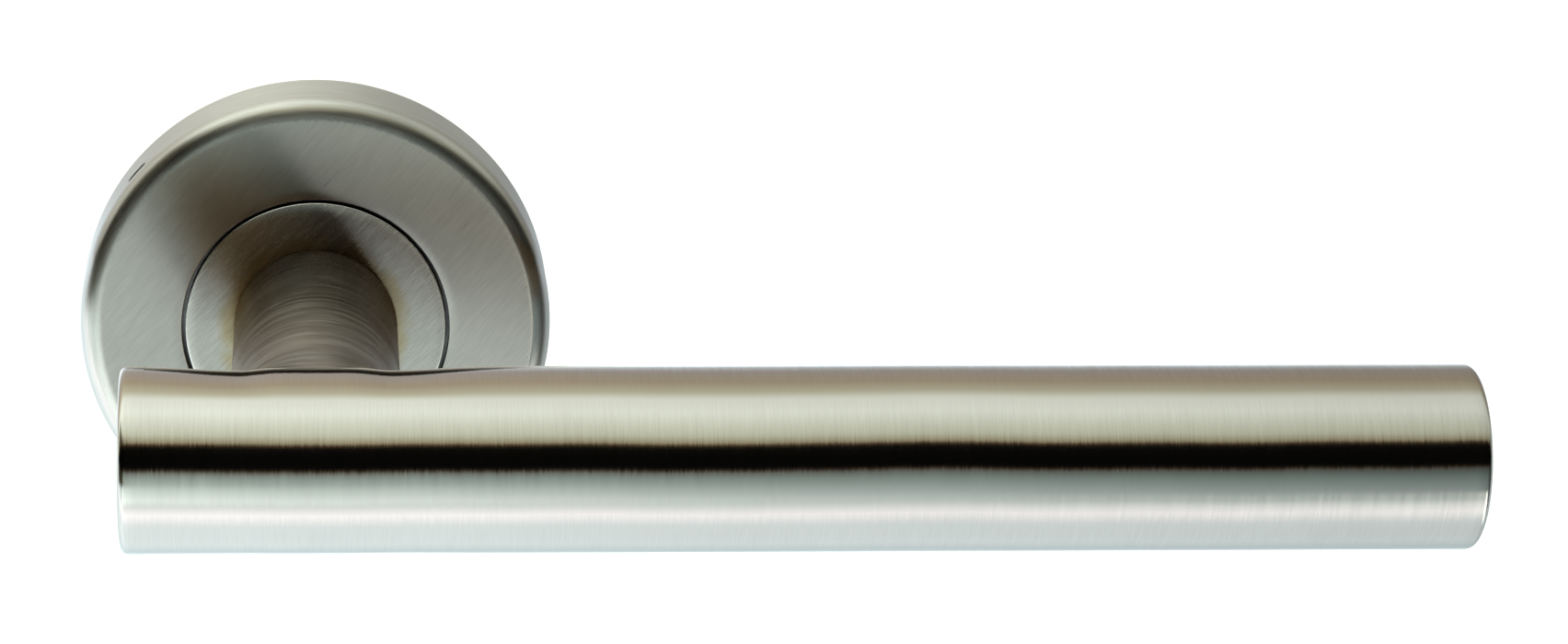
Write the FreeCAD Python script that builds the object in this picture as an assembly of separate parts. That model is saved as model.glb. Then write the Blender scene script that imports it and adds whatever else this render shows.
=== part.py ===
import FreeCAD, Part
import math
import os

# Door lever handle on a sprung round rose, in millimetres.
# The origin is on the door's face, on the spindle's axis. +X runs along the grip and
# +Z is up. The door is on the +Y side and the hand is on the -Y side.
# A depth is a distance in front of the door's face; below zero it is inside the door.
# An angle is counted from +X towards +Z, about the spindle's axis.

# Rose
ROSE_RADIUS = 26.0
ROSE_DEPTH = 9.0
COVER_WALL = 1.0
COVER_EDGE_RADIUS = 1.8
COVER_HOLE_RADIUS = 14.75
PRY_SLOT_ANGLE = 139.0
PRY_SLOT_WIDTH = 2.8
PRY_SLOT_HEIGHT = 1.1
PRY_SLOT_BACK = 5.4
PRY_SLOT_ROUNDING = 0.5

# Lever
GRIP_RADIUS = 9.5
GRIP_WALL = 2.5
GRIP_NEAR_END = -19.7
GRIP_FAR_END = 118.3
GRIP_DEPTH = 51.5
NECK_RADIUS = 9.0
NECK_WALL = 2.0
NECK_FOOT_CHAMFER = 0.25
WELD_RADIUS = 1.5
CAP_THICKNESS = 2.5
CAP_SPIGOT_LENGTH = 5.0
CAP_EDGE_RADIUS = 0.6
COLLAR_RADIUS = 14.4
COLLAR_THICKNESS = 1.2
COLLAR_EDGE_CHAMFER = 0.15

# Door and lock interface
BOLT_CIRCLE_RADIUS = 19.0
BOLT_RADIUS = 2.0
BOLT_SHANK_RADIUS = 1.8
BOLT_THREAD_BACK_OFF = 0.6
BOLT_LENGTH = 50.0
BOLT_HEAD_RADIUS = 3.75
BOLT_HEAD_HEIGHT = 2.4
LUG_RADIUS = 4.0
LUG_LENGTH = 7.0
LUG_SPIGOT_RADIUS = 3.2
SPINDLE_WIDTH = 8.0
SPINDLE_REACH = 62.0
SPINDLE_CHAMFER = 0.5
WOOD_SCREW_CIRCLE_RADIUS = 20.0
WOOD_SCREW_RADIUS = 1.75
WOOD_SCREW_SHANK_RADIUS = 1.3
WOOD_SCREW_THREAD_START = 0.5
WOOD_SCREW_LENGTH = 20.0
WOOD_SCREW_HEAD_RADIUS = 3.4
WOOD_SCREW_HEAD_HEIGHT = 2.2

# Lever core and its bearing
SHANK_RADIUS = 8.0
SHANK_FLAT = 6.6
SOCKET_DEPTH = 27.0
CORE_DEPTH = 30.0
GROOVE_FLOOR_RADIUS = 7.3
CIRCLIP_BACK = 0.6
CIRCLIP_THICKNESS = 0.7
CIRCLIP_RADIUS = 9.4
CIRCLIP_EAR_RADIUS = 1.4
CIRCLIP_OPENING = 30.0
WASHER_RADIUS = 10.4
WASHER_SHEET = 0.24
BUSH_SLEEVE_RADIUS = 9.6
BUSH_FLANGE_RADIUS = 12.0
BUSH_FLANGE_THICKNESS = 0.6
GRUB_DEPTH = 19.0
GRUB_RADIUS = 3.0
GRUB_LENGTH = 4.6
GRUB_HEX_WIDTH = 3.0

# Spring housing
BASE_RADIUS = 24.6
BASE_FRONT = 7.1
BASE_EDGE_CHAMFER = 1.0
BASE_FRONT_WALL = 1.4
PLATE_THICKNESS = 1.0
PLATE_RADIUS = 24.2
PLATE_HOLE_RADIUS = 11.2
SPRING_POCKET_RADIUS = 11.8
SPRING_POCKET_BACK = 2.7
DRIVER_RADIUS = 14.8
DRIVER_THICKNESS = 0.9
DRIVER_POCKET_RADIUS = 15.2
STOP_PIN_RADIUS = 1.0
STOP_PIN_CIRCLE_RADIUS = 13.4
STOP_PIN_ANGLE = 75.0
STOP_PIN_LENGTH = 3.4
LEVER_TRAVEL = 45.0
SPRING_WIRE = 1.25
SPRING_MEAN_RADIUS = 10.7
SPRING_PITCH = 1.3
SPRING_TURNS = 1.25
SPRING_ANCHOR_ANGLE = 200.0
SPRING_ANCHOR_RADIUS = 13.6
SPRING_INNER_END_RADIUS = 8.4
TAB_INNER_RADIUS = 8.4
TAB_OUTER_RADIUS = 9.7
TAB_ANGLE = 22.0
TAB_LENGTH = 2.0
CLIP_WIDTH = 8.0
CLIP_BOW_RADIUS = 8.0
CLIP_SHEET = 0.4
CLIP_HEIGHT = 3.0
CLIP_BACK = 2.5
CLIP_SEAT_RADIUS = 22.9
CLIP_COUNT = 4
PLATE_SCREW_COUNT = 4
PLATE_SCREW_CIRCLE_RADIUS = 20.5
PLATE_SCREW_RADIUS = 1.25
PLATE_SCREW_HEAD_RADIUS = 2.2
PLATE_SCREW_LENGTH = 5.0

# Gaps between pieces
SEAT_GAP = 0.02
RUNNING_GAP = 0.05
END_GAP = 0.1
FREE_GAP = 0.3
HOLE_GAP = 0.2
OVERCUT = 1.0

DIAGONAL = 45.0
FULL_TURN = 360.0
HALF_TURN = FULL_TURN / 2
QUARTER_TURN = FULL_TURN / 4
HEX_SIDES = 6
ORIGIN = FreeCAD.Vector(0, 0, 0)
TO_HAND = FreeCAD.Vector(0, -1, 0)
ALONG_GRIP = FreeCAD.Vector(1, 0, 0)
DOWN = FreeCAD.Vector(0, 0, -1)

bush_back = BASE_FRONT - BASE_FRONT_WALL
collar_back = ROSE_DEPTH - COLLAR_THICKNESS
driver_front = SPRING_POCKET_BACK - END_GAP
driver_back = driver_front - DRIVER_THICKNESS
grip_bore_radius = GRIP_RADIUS - GRIP_WALL
neck_bore_radius = NECK_RADIUS - NECK_WALL
bolt_seat = BASE_FRONT - BOLT_HEAD_HEIGHT - 2 * HOLE_GAP
wood_screw_seat = BASE_FRONT - WOOD_SCREW_HEAD_HEIGHT - 2 * HOLE_GAP


def rod(radius, back, front, x=0.0, z=0.0):
    """A round bar square to the door, between two depths."""
    foot = FreeCAD.Vector(x, -back, z)
    return Part.makeCylinder(radius, front - back, foot, TO_HAND)


def ring(outer_radius, inner_radius, back, front, x=0.0, z=0.0):
    """A flat ring or tube square to the door."""
    return rod(outer_radius, back, front, x, z).cut(rod(inner_radius, back, front, x, z))


def cone(back_radius, front_radius, back, front, x=0.0, z=0.0):
    """A cone square to the door, between two depths."""
    foot = FreeCAD.Vector(x, -back, z)
    return Part.makeCone(back_radius, front_radius, front - back, foot, TO_HAND)


def block(x_low, x_high, back, front, z_low, z_high):
    """A box between two depths."""
    corner = FreeCAD.Vector(x_low, -front, z_low)
    return Part.makeBox(x_high - x_low, front - back, z_high - z_low, corner)


def grip_bar(radius, start, end):
    """A round bar on the grip's axis."""
    return Part.makeCylinder(radius, end - start, FreeCAD.Vector(start, -GRIP_DEPTH, 0), ALONG_GRIP)


def turned(shape, angle):
    """The shape turned about the spindle's axis."""
    return shape.rotated(ORIGIN, TO_HAND, angle)


def polar(radius, angle):
    """The x and z of a point at a radius and an angle."""
    return radius * math.cos(math.radians(angle)), radius * math.sin(math.radians(angle))


def fused(shapes):
    """One shape from several."""
    return shapes[0].multiFuse(shapes[1:]).removeSplitter()


def edges_at_depth(shape, depth, radius):
    """The circular edges of one radius that lie at one depth."""
    found = []
    for edge in shape.Edges:
        box = edge.BoundBox
        flat = box.YLength < SEAT_GAP and abs(box.YMin + depth) < SEAT_GAP
        if flat and abs(box.XLength / 2 - radius) < SEAT_GAP:
            found.append(edge)
    return found


def section(points):
    """A flat face from corners given as radius and depth."""
    corners = [FreeCAD.Vector(radius, -depth, 0) for radius, depth in points]
    return Part.Face(Part.makePolygon(corners + corners[:1]))


def sector(outer_radius, inner_radius, back, front, start_angle, end_angle):
    """A piece of a ring between two angles."""
    side = section([(inner_radius, back), (outer_radius, back), (outer_radius, front), (inner_radius, front)])
    return turned(side.revolve(ORIGIN, TO_HAND, end_angle - start_angle), start_angle)


def cross_recess(width, length, back, front, x, z):
    """The tool for a screwdriver's cross in a screw head."""
    half_width = width / 2
    half_length = length / 2
    level = block(x - half_length, x + half_length, back, front, z - half_width, z + half_width)
    upright = block(x - half_width, x + half_width, back, front, z - half_length, z + half_length)
    return level.fuse(upright)


def opposite_pair(radius, angle):
    """The x and z of two points across the spindle from each other."""
    return [polar(radius, angle), polar(radius, angle + HALF_TURN)]


def ring_of(count, radius, first_angle):
    """The x and z of points evenly round the spindle."""
    return [polar(radius, first_angle + FULL_TURN * i / count) for i in range(count)]


bolt_places = opposite_pair(BOLT_CIRCLE_RADIUS, 0.0)
wood_screw_places = opposite_pair(WOOD_SCREW_CIRCLE_RADIUS, QUARTER_TURN)
stop_pin_places = opposite_pair(STOP_PIN_CIRCLE_RADIUS, STOP_PIN_ANGLE)
plate_screw_places = ring_of(PLATE_SCREW_COUNT, PLATE_SCREW_CIRCLE_RADIUS, DIAGONAL)
clip_angles = [DIAGONAL + FULL_TURN * i / CLIP_COUNT for i in range(CLIP_COUNT)]


# ---- Fixed side ----


def make_rose_cover():
    """A deep-drawn dish with the collar's hole and a pry slot in its wall."""
    outside = rod(ROSE_RADIUS, 0, ROSE_DEPTH)
    outside = outside.makeFillet(COVER_EDGE_RADIUS, edges_at_depth(outside, ROSE_DEPTH, ROSE_RADIUS))
    inner_radius = ROSE_RADIUS - COVER_WALL
    inner_depth = ROSE_DEPTH - COVER_WALL
    inside = rod(inner_radius, 0, inner_depth)
    inner_rounding = COVER_EDGE_RADIUS - COVER_WALL
    inside = inside.makeFillet(inner_rounding, edges_at_depth(inside, inner_depth, inner_radius))
    hole = rod(COVER_HOLE_RADIUS, 0, ROSE_DEPTH)
    return outside.cut(inside).cut(hole).cut(turned(pry_slot(inner_radius), PRY_SLOT_ANGLE))


def pry_slot(inner_radius):
    """The tool for the slot that a screwdriver lifts the cover by."""
    half = PRY_SLOT_WIDTH / 2
    front = PRY_SLOT_BACK + PRY_SLOT_HEIGHT
    slot = block(inner_radius - OVERCUT, ROSE_RADIUS + OVERCUT, PRY_SLOT_BACK, front, -half, half)
    corners = [edge for edge in slot.Edges if edge.BoundBox.XLength > OVERCUT]
    return slot.makeFillet(PRY_SLOT_ROUNDING, corners)


def make_mounting_base():
    """The die-cast base, with pockets for the spring, the driver and the fixings."""
    base = rod(BASE_RADIUS, PLATE_THICKNESS, BASE_FRONT)
    base = base.makeChamfer(BASE_EDGE_CHAMFER, edges_at_depth(base, BASE_FRONT, BASE_RADIUS))
    tools = [
        rod(BUSH_SLEEVE_RADIUS + SEAT_GAP, bush_back, BASE_FRONT),
        rod(SPRING_POCKET_RADIUS, SPRING_POCKET_BACK, bush_back),
        rod(DRIVER_POCKET_RADIUS, PLATE_THICKNESS, SPRING_POCKET_BACK),
    ]
    for x, z in bolt_places:
        tools.append(rod(BOLT_RADIUS + HOLE_GAP, PLATE_THICKNESS, BASE_FRONT, x, z))
        tools.append(rod(BOLT_HEAD_RADIUS + 2 * HOLE_GAP, bolt_seat, BASE_FRONT, x, z))
        tools.append(rod(LUG_SPIGOT_RADIUS + SEAT_GAP, PLATE_THICKNESS, lug_spigot_front(), x, z))
    for x, z in wood_screw_places:
        tools.append(rod(WOOD_SCREW_RADIUS + HOLE_GAP, PLATE_THICKNESS, BASE_FRONT, x, z))
        tools.append(rod(WOOD_SCREW_HEAD_RADIUS + 2 * HOLE_GAP, wood_screw_seat, BASE_FRONT, x, z))
    for x, z in plate_screw_places:
        tools.append(rod(PLATE_SCREW_RADIUS + SEAT_GAP, PLATE_THICKNESS, PLATE_SCREW_LENGTH + HOLE_GAP, x, z))
    for x, z in stop_pin_places:
        tools.append(rod(STOP_PIN_RADIUS + SEAT_GAP, SPRING_POCKET_BACK, stop_pin_front() + HOLE_GAP, x, z))
    for angle in clip_angles:
        tools.append(turned(clip_seat(), angle))
    tools.append(turned(spring_anchor_slot(), SPRING_ANCHOR_ANGLE))
    for tool in tools:
        base = base.cut(tool)
    return base


def lug_spigot_front():
    """How far in front of the door a lug's spigot reaches into the base."""
    return bolt_seat - BASE_FRONT_WALL / 2


def stop_pin_front():
    """The depth of a stop pin's blind end."""
    return driver_back + STOP_PIN_LENGTH


def clip_seat():
    """The tool for one clip's seat, at angle zero."""
    half_width = CLIP_WIDTH / 2 + FREE_GAP
    front = CLIP_BACK + CLIP_HEIGHT + HOLE_GAP
    back = CLIP_BACK - HOLE_GAP
    return block(CLIP_SEAT_RADIUS, BASE_RADIUS + OVERCUT, back, front, -half_width, half_width)


def spring_anchor_slot():
    """The tool for the slot that holds the spring's fixed end, at angle zero."""
    half_width = SPRING_WIRE / 2 + HOLE_GAP / 2
    back = spring_front() - half_width
    outer = SPRING_ANCHOR_RADIUS + HOLE_GAP
    return block(SPRING_MEAN_RADIUS, outer, back, bush_back, -half_width, half_width)


def make_support_lugs():
    """Two stepped sleeves that reach into the door round the bolts."""
    lugs = []
    for x, z in bolt_places:
        body = rod(LUG_RADIUS, -LUG_LENGTH, 0, x, z)
        body = body.fuse(rod(LUG_SPIGOT_RADIUS, 0, lug_spigot_front(), x, z))
        lugs.append(body.cut(rod(BOLT_RADIUS + HOLE_GAP, -LUG_LENGTH, lug_spigot_front(), x, z)))
    return Part.makeCompound(lugs)


def make_backing_plate():
    """The pressed plate that closes the base at the door."""
    plate = ring(PLATE_RADIUS, PLATE_HOLE_RADIUS, 0, PLATE_THICKNESS)
    for x, z in bolt_places:
        plate = plate.cut(rod(LUG_SPIGOT_RADIUS + SEAT_GAP, 0, PLATE_THICKNESS, x, z))
    for x, z in wood_screw_places:
        plate = plate.cut(rod(WOOD_SCREW_RADIUS + HOLE_GAP, 0, PLATE_THICKNESS, x, z))
    for x, z in plate_screw_places:
        head = PLATE_SCREW_HEAD_RADIUS + SEAT_GAP
        plate = plate.cut(cone(head, PLATE_SCREW_RADIUS + SEAT_GAP, 0, PLATE_THICKNESS, x, z))
    return plate


def make_backing_screws():
    """Countersunk screws through the backing plate into the base."""
    screws = []
    for x, z in plate_screw_places:
        head = cone(PLATE_SCREW_HEAD_RADIUS, PLATE_SCREW_RADIUS, 0, PLATE_THICKNESS, x, z)
        screw = head.fuse(rod(PLATE_SCREW_RADIUS, PLATE_THICKNESS, PLATE_SCREW_LENGTH, x, z))
        recess = cross_recess(PLATE_SCREW_RADIUS / 2, 2 * PLATE_SCREW_RADIUS, 0, PLATE_THICKNESS / 2, x, z)
        screws.append(screw.cut(recess))
    return Part.makeCompound(screws)


def make_cover_clips():
    """Bowed leaf springs in the base's rim that grip the cover."""
    bow_centre = ROSE_RADIUS - COVER_WALL - SEAT_GAP - CLIP_BOW_RADIUS
    front = CLIP_BACK + CLIP_HEIGHT
    leaf = ring(CLIP_BOW_RADIUS, CLIP_BOW_RADIUS - CLIP_SHEET, CLIP_BACK, front, bow_centre)
    half_width = CLIP_WIDTH / 2
    leaf = leaf.common(block(bow_centre, ROSE_RADIUS, CLIP_BACK, front, -half_width, half_width))
    return Part.makeCompound([turned(leaf, angle) for angle in clip_angles])


def make_neck_bush():
    """The flanged plastic bearing that the shank turns in."""
    sleeve = rod(BUSH_SLEEVE_RADIUS, bush_back, BASE_FRONT)
    flange = rod(BUSH_FLANGE_RADIUS, BASE_FRONT, BASE_FRONT + BUSH_FLANGE_THICKNESS)
    bore = rod(SHANK_RADIUS + RUNNING_GAP, bush_back, BASE_FRONT + BUSH_FLANGE_THICKNESS)
    return sleeve.fuse(flange).cut(bore).removeSplitter()


def spring_front():
    """The depth of the wire's centre at the spring's fixed end."""
    return bush_back - END_GAP - SPRING_WIRE / 2


def spring_leg(depth, start_radius, end_radius):
    """A straight radial end of the spring at angle zero, with a round elbow."""
    wire_radius = SPRING_WIRE / 2
    low = min(start_radius, end_radius)
    high = max(start_radius, end_radius)
    leg = Part.makeCylinder(wire_radius, high - low, FreeCAD.Vector(low, -depth, 0), ALONG_GRIP)
    return leg.fuse(Part.makeSphere(wire_radius, FreeCAD.Vector(start_radius, -depth, 0)))


def spring_point(angle, depth):
    """A point on the spring's centre line."""
    x, z = polar(SPRING_MEAN_RADIUS, angle)
    return FreeCAD.Vector(x, -depth, z)


def half_coil(start_angle, start_depth, swept):
    """A flat arc of the wire that leans by half a pitch over half a turn."""
    start = spring_point(start_angle, start_depth)
    opposite = spring_point(start_angle - HALF_TURN, start_depth - SPRING_PITCH / 2)
    centre = (start + opposite) * 0.5
    forward = spring_point(start_angle - QUARTER_TURN, 0)
    wire_end = Part.Face(Part.Wire(Part.makeCircle(SPRING_WIRE / 2, start, forward)))
    return wire_end.revolve(centre, (start - centre).cross(forward), swept)


def make_return_spring():
    """A torsion spring: the outer end is anchored, the inner end follows the driver."""
    wire = [spring_leg(spring_front(), SPRING_MEAN_RADIUS, SPRING_ANCHOR_RADIUS)]
    left_to_sweep = FULL_TURN * SPRING_TURNS
    angle = 0.0
    depth = spring_front()
    while left_to_sweep > 0:
        swept = min(left_to_sweep, HALF_TURN)
        wire.append(half_coil(angle, depth, swept))
        left_to_sweep -= swept
        angle -= swept
        depth -= SPRING_PITCH * swept / FULL_TURN
    inner_leg = spring_leg(depth, SPRING_MEAN_RADIUS, SPRING_INNER_END_RADIUS)
    wire.append(turned(inner_leg, angle))
    return turned(fused(wire), SPRING_ANCHOR_ANGLE)


def make_stop_pins():
    """Two pins in the base that the driver's slots run against."""
    pins = [rod(STOP_PIN_RADIUS, driver_back, stop_pin_front(), x, z) for x, z in stop_pin_places]
    return Part.makeCompound(pins)


def make_through_bolts():
    """Two pan-head bolts that go through the door."""
    bolts = []
    for x, z in bolt_places:
        front = bolt_seat + BOLT_HEAD_HEIGHT
        head = rod(BOLT_HEAD_RADIUS, bolt_seat, front, x, z)
        thread_front = -LUG_LENGTH - BOLT_THREAD_BACK_OFF
        bolt = head.fuse(rod(BOLT_SHANK_RADIUS, thread_front, bolt_seat, x, z))
        bolt = bolt.fuse(rod(BOLT_RADIUS, bolt_seat - BOLT_LENGTH, thread_front, x, z))
        recess_back = bolt_seat + BOLT_RADIUS / 2
        bolt = bolt.cut(cross_recess(BOLT_RADIUS / 2, 2 * BOLT_RADIUS, recess_back, front, x, z))
        bolts.append(bolt)
    return Part.makeCompound(bolts)


def make_wood_screws():
    """Two pan-head screws, pointed, at the top and bottom of the rose."""
    screws = []
    for x, z in wood_screw_places:
        front = wood_screw_seat + WOOD_SCREW_HEAD_HEIGHT
        tip = wood_screw_seat - WOOD_SCREW_LENGTH
        taper = tip + 2 * WOOD_SCREW_RADIUS
        screw = rod(WOOD_SCREW_HEAD_RADIUS, wood_screw_seat, front, x, z)
        screw = screw.fuse(rod(WOOD_SCREW_SHANK_RADIUS, -WOOD_SCREW_THREAD_START, wood_screw_seat, x, z))
        screw = screw.fuse(rod(WOOD_SCREW_RADIUS, taper, -WOOD_SCREW_THREAD_START, x, z))
        screw = screw.fuse(cone(0, WOOD_SCREW_RADIUS, tip, taper, x, z))
        recess_back = wood_screw_seat + WOOD_SCREW_RADIUS / 2
        recess = cross_recess(WOOD_SCREW_RADIUS / 2, 2 * WOOD_SCREW_RADIUS, recess_back, front, x, z)
        screw = screw.cut(recess)
        screws.append(screw)
    return Part.makeCompound(screws)


# ---- Lever ----


def make_grip_tube():
    """The tube that the hand holds."""
    start = GRIP_NEAR_END + CAP_THICKNESS
    end = GRIP_FAR_END - CAP_THICKNESS
    return grip_bar(GRIP_RADIUS, start, end).cut(grip_bar(grip_bore_radius, start, end))


def make_end_cap(end, inward):
    """A welded plug with an eased edge; inward is the direction of its spigot along X."""
    seam = end + inward * CAP_THICKNESS
    disc = grip_bar(GRIP_RADIUS, min(end, seam), max(end, seam))
    rim = [edge for edge in disc.Edges if abs(edge.BoundBox.XMin - end) < SEAT_GAP]
    rim = [edge for edge in rim if edge.BoundBox.XLength < SEAT_GAP]
    disc = disc.makeFillet(CAP_EDGE_RADIUS, rim)
    spigot_end = seam + inward * CAP_SPIGOT_LENGTH
    spigot = grip_bar(grip_bore_radius - SEAT_GAP, min(seam, spigot_end), max(seam, spigot_end))
    return disc.fuse(spigot)


def make_neck():
    """The tube from the rose to the grip, cut to the grip's round, with its weld."""
    tube = rod(NECK_RADIUS, ROSE_DEPTH, GRIP_DEPTH)
    tube = tube.makeChamfer(NECK_FOOT_CHAMFER, edges_at_depth(tube, ROSE_DEPTH, NECK_RADIUS))
    half_length = 2 * NECK_RADIUS
    grip = grip_bar(GRIP_RADIUS, -half_length, half_length)
    joined = tube.fuse(grip)
    joined = joined.makeFillet(WELD_RADIUS, weld_edges(joined))
    neck = joined.cut(grip_bar(GRIP_RADIUS, -half_length - OVERCUT, half_length + OVERCUT))
    neck = neck.cut(rod(neck_bore_radius, ROSE_DEPTH, GRIP_DEPTH))
    return neck.cut(grub_rod(GRUB_RADIUS + HOLE_GAP, 0, NECK_RADIUS + OVERCUT))


def weld_edges(joined):
    """The edges where the neck meets the grip."""
    found = []
    for edge in joined.Edges:
        middle = edge.valueAt((edge.FirstParameter + edge.LastParameter) / 2)
        on_neck = abs(math.hypot(middle.x, middle.z) - NECK_RADIUS) < SEAT_GAP
        on_grip = abs(math.hypot(middle.y + GRIP_DEPTH, middle.z) - GRIP_RADIUS) < SEAT_GAP
        if on_neck and on_grip:
            found.append(edge)
    return found


def make_collar_disc():
    """The disc at the neck's foot that turns in the cover's hole, flush with it."""
    disc = rod(COLLAR_RADIUS, collar_back, ROSE_DEPTH)
    disc = disc.makeChamfer(COLLAR_EDGE_CHAMFER, edges_at_depth(disc, ROSE_DEPTH, COLLAR_RADIUS))
    return disc.cut(rod(SHANK_RADIUS + SEAT_GAP, collar_back, ROSE_DEPTH))


def shank_flats(across, back, front):
    """What is left of a big block beyond two flats, above and below the shank."""
    wide = 2 * SHANK_RADIUS
    above = block(-wide, wide, back, front, across, wide)
    below = block(-wide, wide, back, front, -wide, -across)
    return above.fuse(below)


def grub_rod(radius, top, bottom):
    """A round bar on the grub screw's axis, between two distances below the spindle's axis."""
    return Part.makeCylinder(radius, bottom - top, FreeCAD.Vector(0, -GRUB_DEPTH, -top), DOWN)


def make_spindle_socket():
    """The turned core: a shank in the bush and a spigot in the neck, with a square hole."""
    core = rod(SHANK_RADIUS, 0, ROSE_DEPTH)
    core = core.fuse(rod(neck_bore_radius - SEAT_GAP, ROSE_DEPTH, CORE_DEPTH))
    core = core.cut(shank_flats(SHANK_FLAT, 0, driver_front))
    groove_front = CIRCLIP_BACK + CIRCLIP_THICKNESS
    core = core.cut(ring(SHANK_RADIUS + OVERCUT, GROOVE_FLOOR_RADIUS, CIRCLIP_BACK, groove_front))
    half_width = SPINDLE_WIDTH / 2 + RUNNING_GAP
    core = core.cut(block(-half_width, half_width, 0, SOCKET_DEPTH, -half_width, half_width))
    return core.cut(grub_rod(GRUB_RADIUS + SEAT_GAP, 0, NECK_RADIUS))


def make_spring_driver():
    """A disc keyed to the shank, with stop slots in its rim and a tab for the spring."""
    disc = rod(DRIVER_RADIUS, driver_back, driver_front)
    shank = rod(SHANK_RADIUS + SEAT_GAP, driver_back, driver_front)
    shank = shank.cut(shank_flats(SHANK_FLAT + SEAT_GAP, driver_back, driver_front))
    disc = disc.cut(shank)
    slot_floor = STOP_PIN_CIRCLE_RADIUS - STOP_PIN_RADIUS - FREE_GAP
    pin_half_angle = math.degrees(math.asin((STOP_PIN_RADIUS + RUNNING_GAP) / STOP_PIN_CIRCLE_RADIUS))
    for side in (0.0, HALF_TURN):
        start = STOP_PIN_ANGLE + side - pin_half_angle
        end = STOP_PIN_ANGLE + side + LEVER_TRAVEL + pin_half_angle
        slot = sector(DRIVER_RADIUS + OVERCUT, slot_floor, driver_back, driver_front, start, end)
        disc = disc.cut(slot)
    leg_half_angle = math.degrees(math.asin((SPRING_WIRE / 2 + RUNNING_GAP) / TAB_INNER_RADIUS))
    tab_start = SPRING_ANCHOR_ANGLE - FULL_TURN * SPRING_TURNS + leg_half_angle
    tab_front = driver_front + TAB_LENGTH
    tab_end = tab_start + TAB_ANGLE
    return disc.fuse(sector(TAB_OUTER_RADIUS, TAB_INNER_RADIUS, driver_front, tab_front, tab_start, tab_end))


def make_spring_washer():
    """A dished washer between the circlip and the driver."""
    inner_radius = SHANK_RADIUS + END_GAP
    back = CIRCLIP_BACK + CIRCLIP_THICKNESS
    front = driver_back
    inner_edge = [(inner_radius, back + WASHER_SHEET), (inner_radius, back)]
    outer_edge = [(WASHER_RADIUS, front - WASHER_SHEET), (WASHER_RADIUS, front)]
    return section(inner_edge + outer_edge).revolve(ORIGIN, TO_HAND, FULL_TURN)


def make_circlip():
    """An open ring in the shank's groove, with two eared ends."""
    back = CIRCLIP_BACK
    front = CIRCLIP_BACK + CIRCLIP_THICKNESS
    inner_radius = GROOVE_FLOOR_RADIUS + SEAT_GAP
    clip = ring(CIRCLIP_RADIUS, inner_radius, back, front)
    ear_reach = CIRCLIP_RADIUS - CIRCLIP_EAR_RADIUS / 4
    ear_angle = CIRCLIP_OPENING / 2 + math.degrees(CIRCLIP_EAR_RADIUS / ear_reach)
    for side in (-1, 1):
        x, z = polar(ear_reach, side * ear_angle)
        clip = clip.fuse(rod(CIRCLIP_EAR_RADIUS, back, front, x, z))
        clip = clip.cut(rod(CIRCLIP_EAR_RADIUS / 2, back, front, x, z))
    clip = clip.cut(rod(inner_radius, back, front))
    half_opening = CIRCLIP_OPENING / 2
    clip = clip.cut(sector(2 * CIRCLIP_RADIUS, GROOVE_FLOOR_RADIUS, back, front, -half_opening, half_opening))
    return turned(clip, -QUARTER_TURN)


def make_grub_screw():
    """A hexagon-socket grub screw from below the neck on to the spindle."""
    top = SPINDLE_WIDTH / 2 + SEAT_GAP
    bottom = top + GRUB_LENGTH
    corner_radius = GRUB_HEX_WIDTH / math.sqrt(3)
    corners = []
    for i in range(HEX_SIDES):
        x, y = polar(corner_radius, FULL_TURN * i / HEX_SIDES)
        corners.append(FreeCAD.Vector(x, y - GRUB_DEPTH, -bottom))
    hexagon = Part.Face(Part.makePolygon(corners + corners[:1]))
    socket = hexagon.extrude(DOWN * (-GRUB_LENGTH / 2))
    return grub_rod(GRUB_RADIUS, top, bottom).cut(socket)


def make_spindle():
    """The square bar that works the latch, with an eased end in the door."""
    half_width = SPINDLE_WIDTH / 2
    bar = block(-half_width, half_width, -SPINDLE_REACH, SOCKET_DEPTH - END_GAP, -half_width, half_width)
    rear = [edge for edge in bar.Edges if edge.BoundBox.YMin > SPINDLE_REACH - SEAT_GAP]
    return bar.makeChamfer(SPINDLE_CHAMFER, rear)


pieces = {
    "rose_cover": make_rose_cover(),
    "mounting_base": make_mounting_base(),
    "support_lugs": make_support_lugs(),
    "backing_plate": make_backing_plate(),
    "backing_screws": make_backing_screws(),
    "cover_clips": make_cover_clips(),
    "neck_bush": make_neck_bush(),
    "return_spring": make_return_spring(),
    "stop_pins": make_stop_pins(),
    "through_bolts": make_through_bolts(),
    "wood_screws": make_wood_screws(),
    "grip_tube": make_grip_tube(),
    "end_cap_near": make_end_cap(GRIP_NEAR_END, 1),
    "end_cap_far": make_end_cap(GRIP_FAR_END, -1),
    "neck": make_neck(),
    "collar_disc": make_collar_disc(),
    "spindle_socket": make_spindle_socket(),
    "spring_driver": make_spring_driver(),
    "spring_washer": make_spring_washer(),
    "circlip": make_circlip(),
    "grub_screw": make_grub_screw(),
    "spindle": make_spindle(),
}

os.makedirs("parts", exist_ok=True)
for name, shape in pieces.items():
    shape.exportStep(f"parts/{name}.step")
    print(name, "valid", shape.isValid(), "solids", len(shape.Solids), "volume", round(shape.Volume, 1))
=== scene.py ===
import math

import bmesh
import bpy
from mathutils import Matrix, Vector


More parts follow.
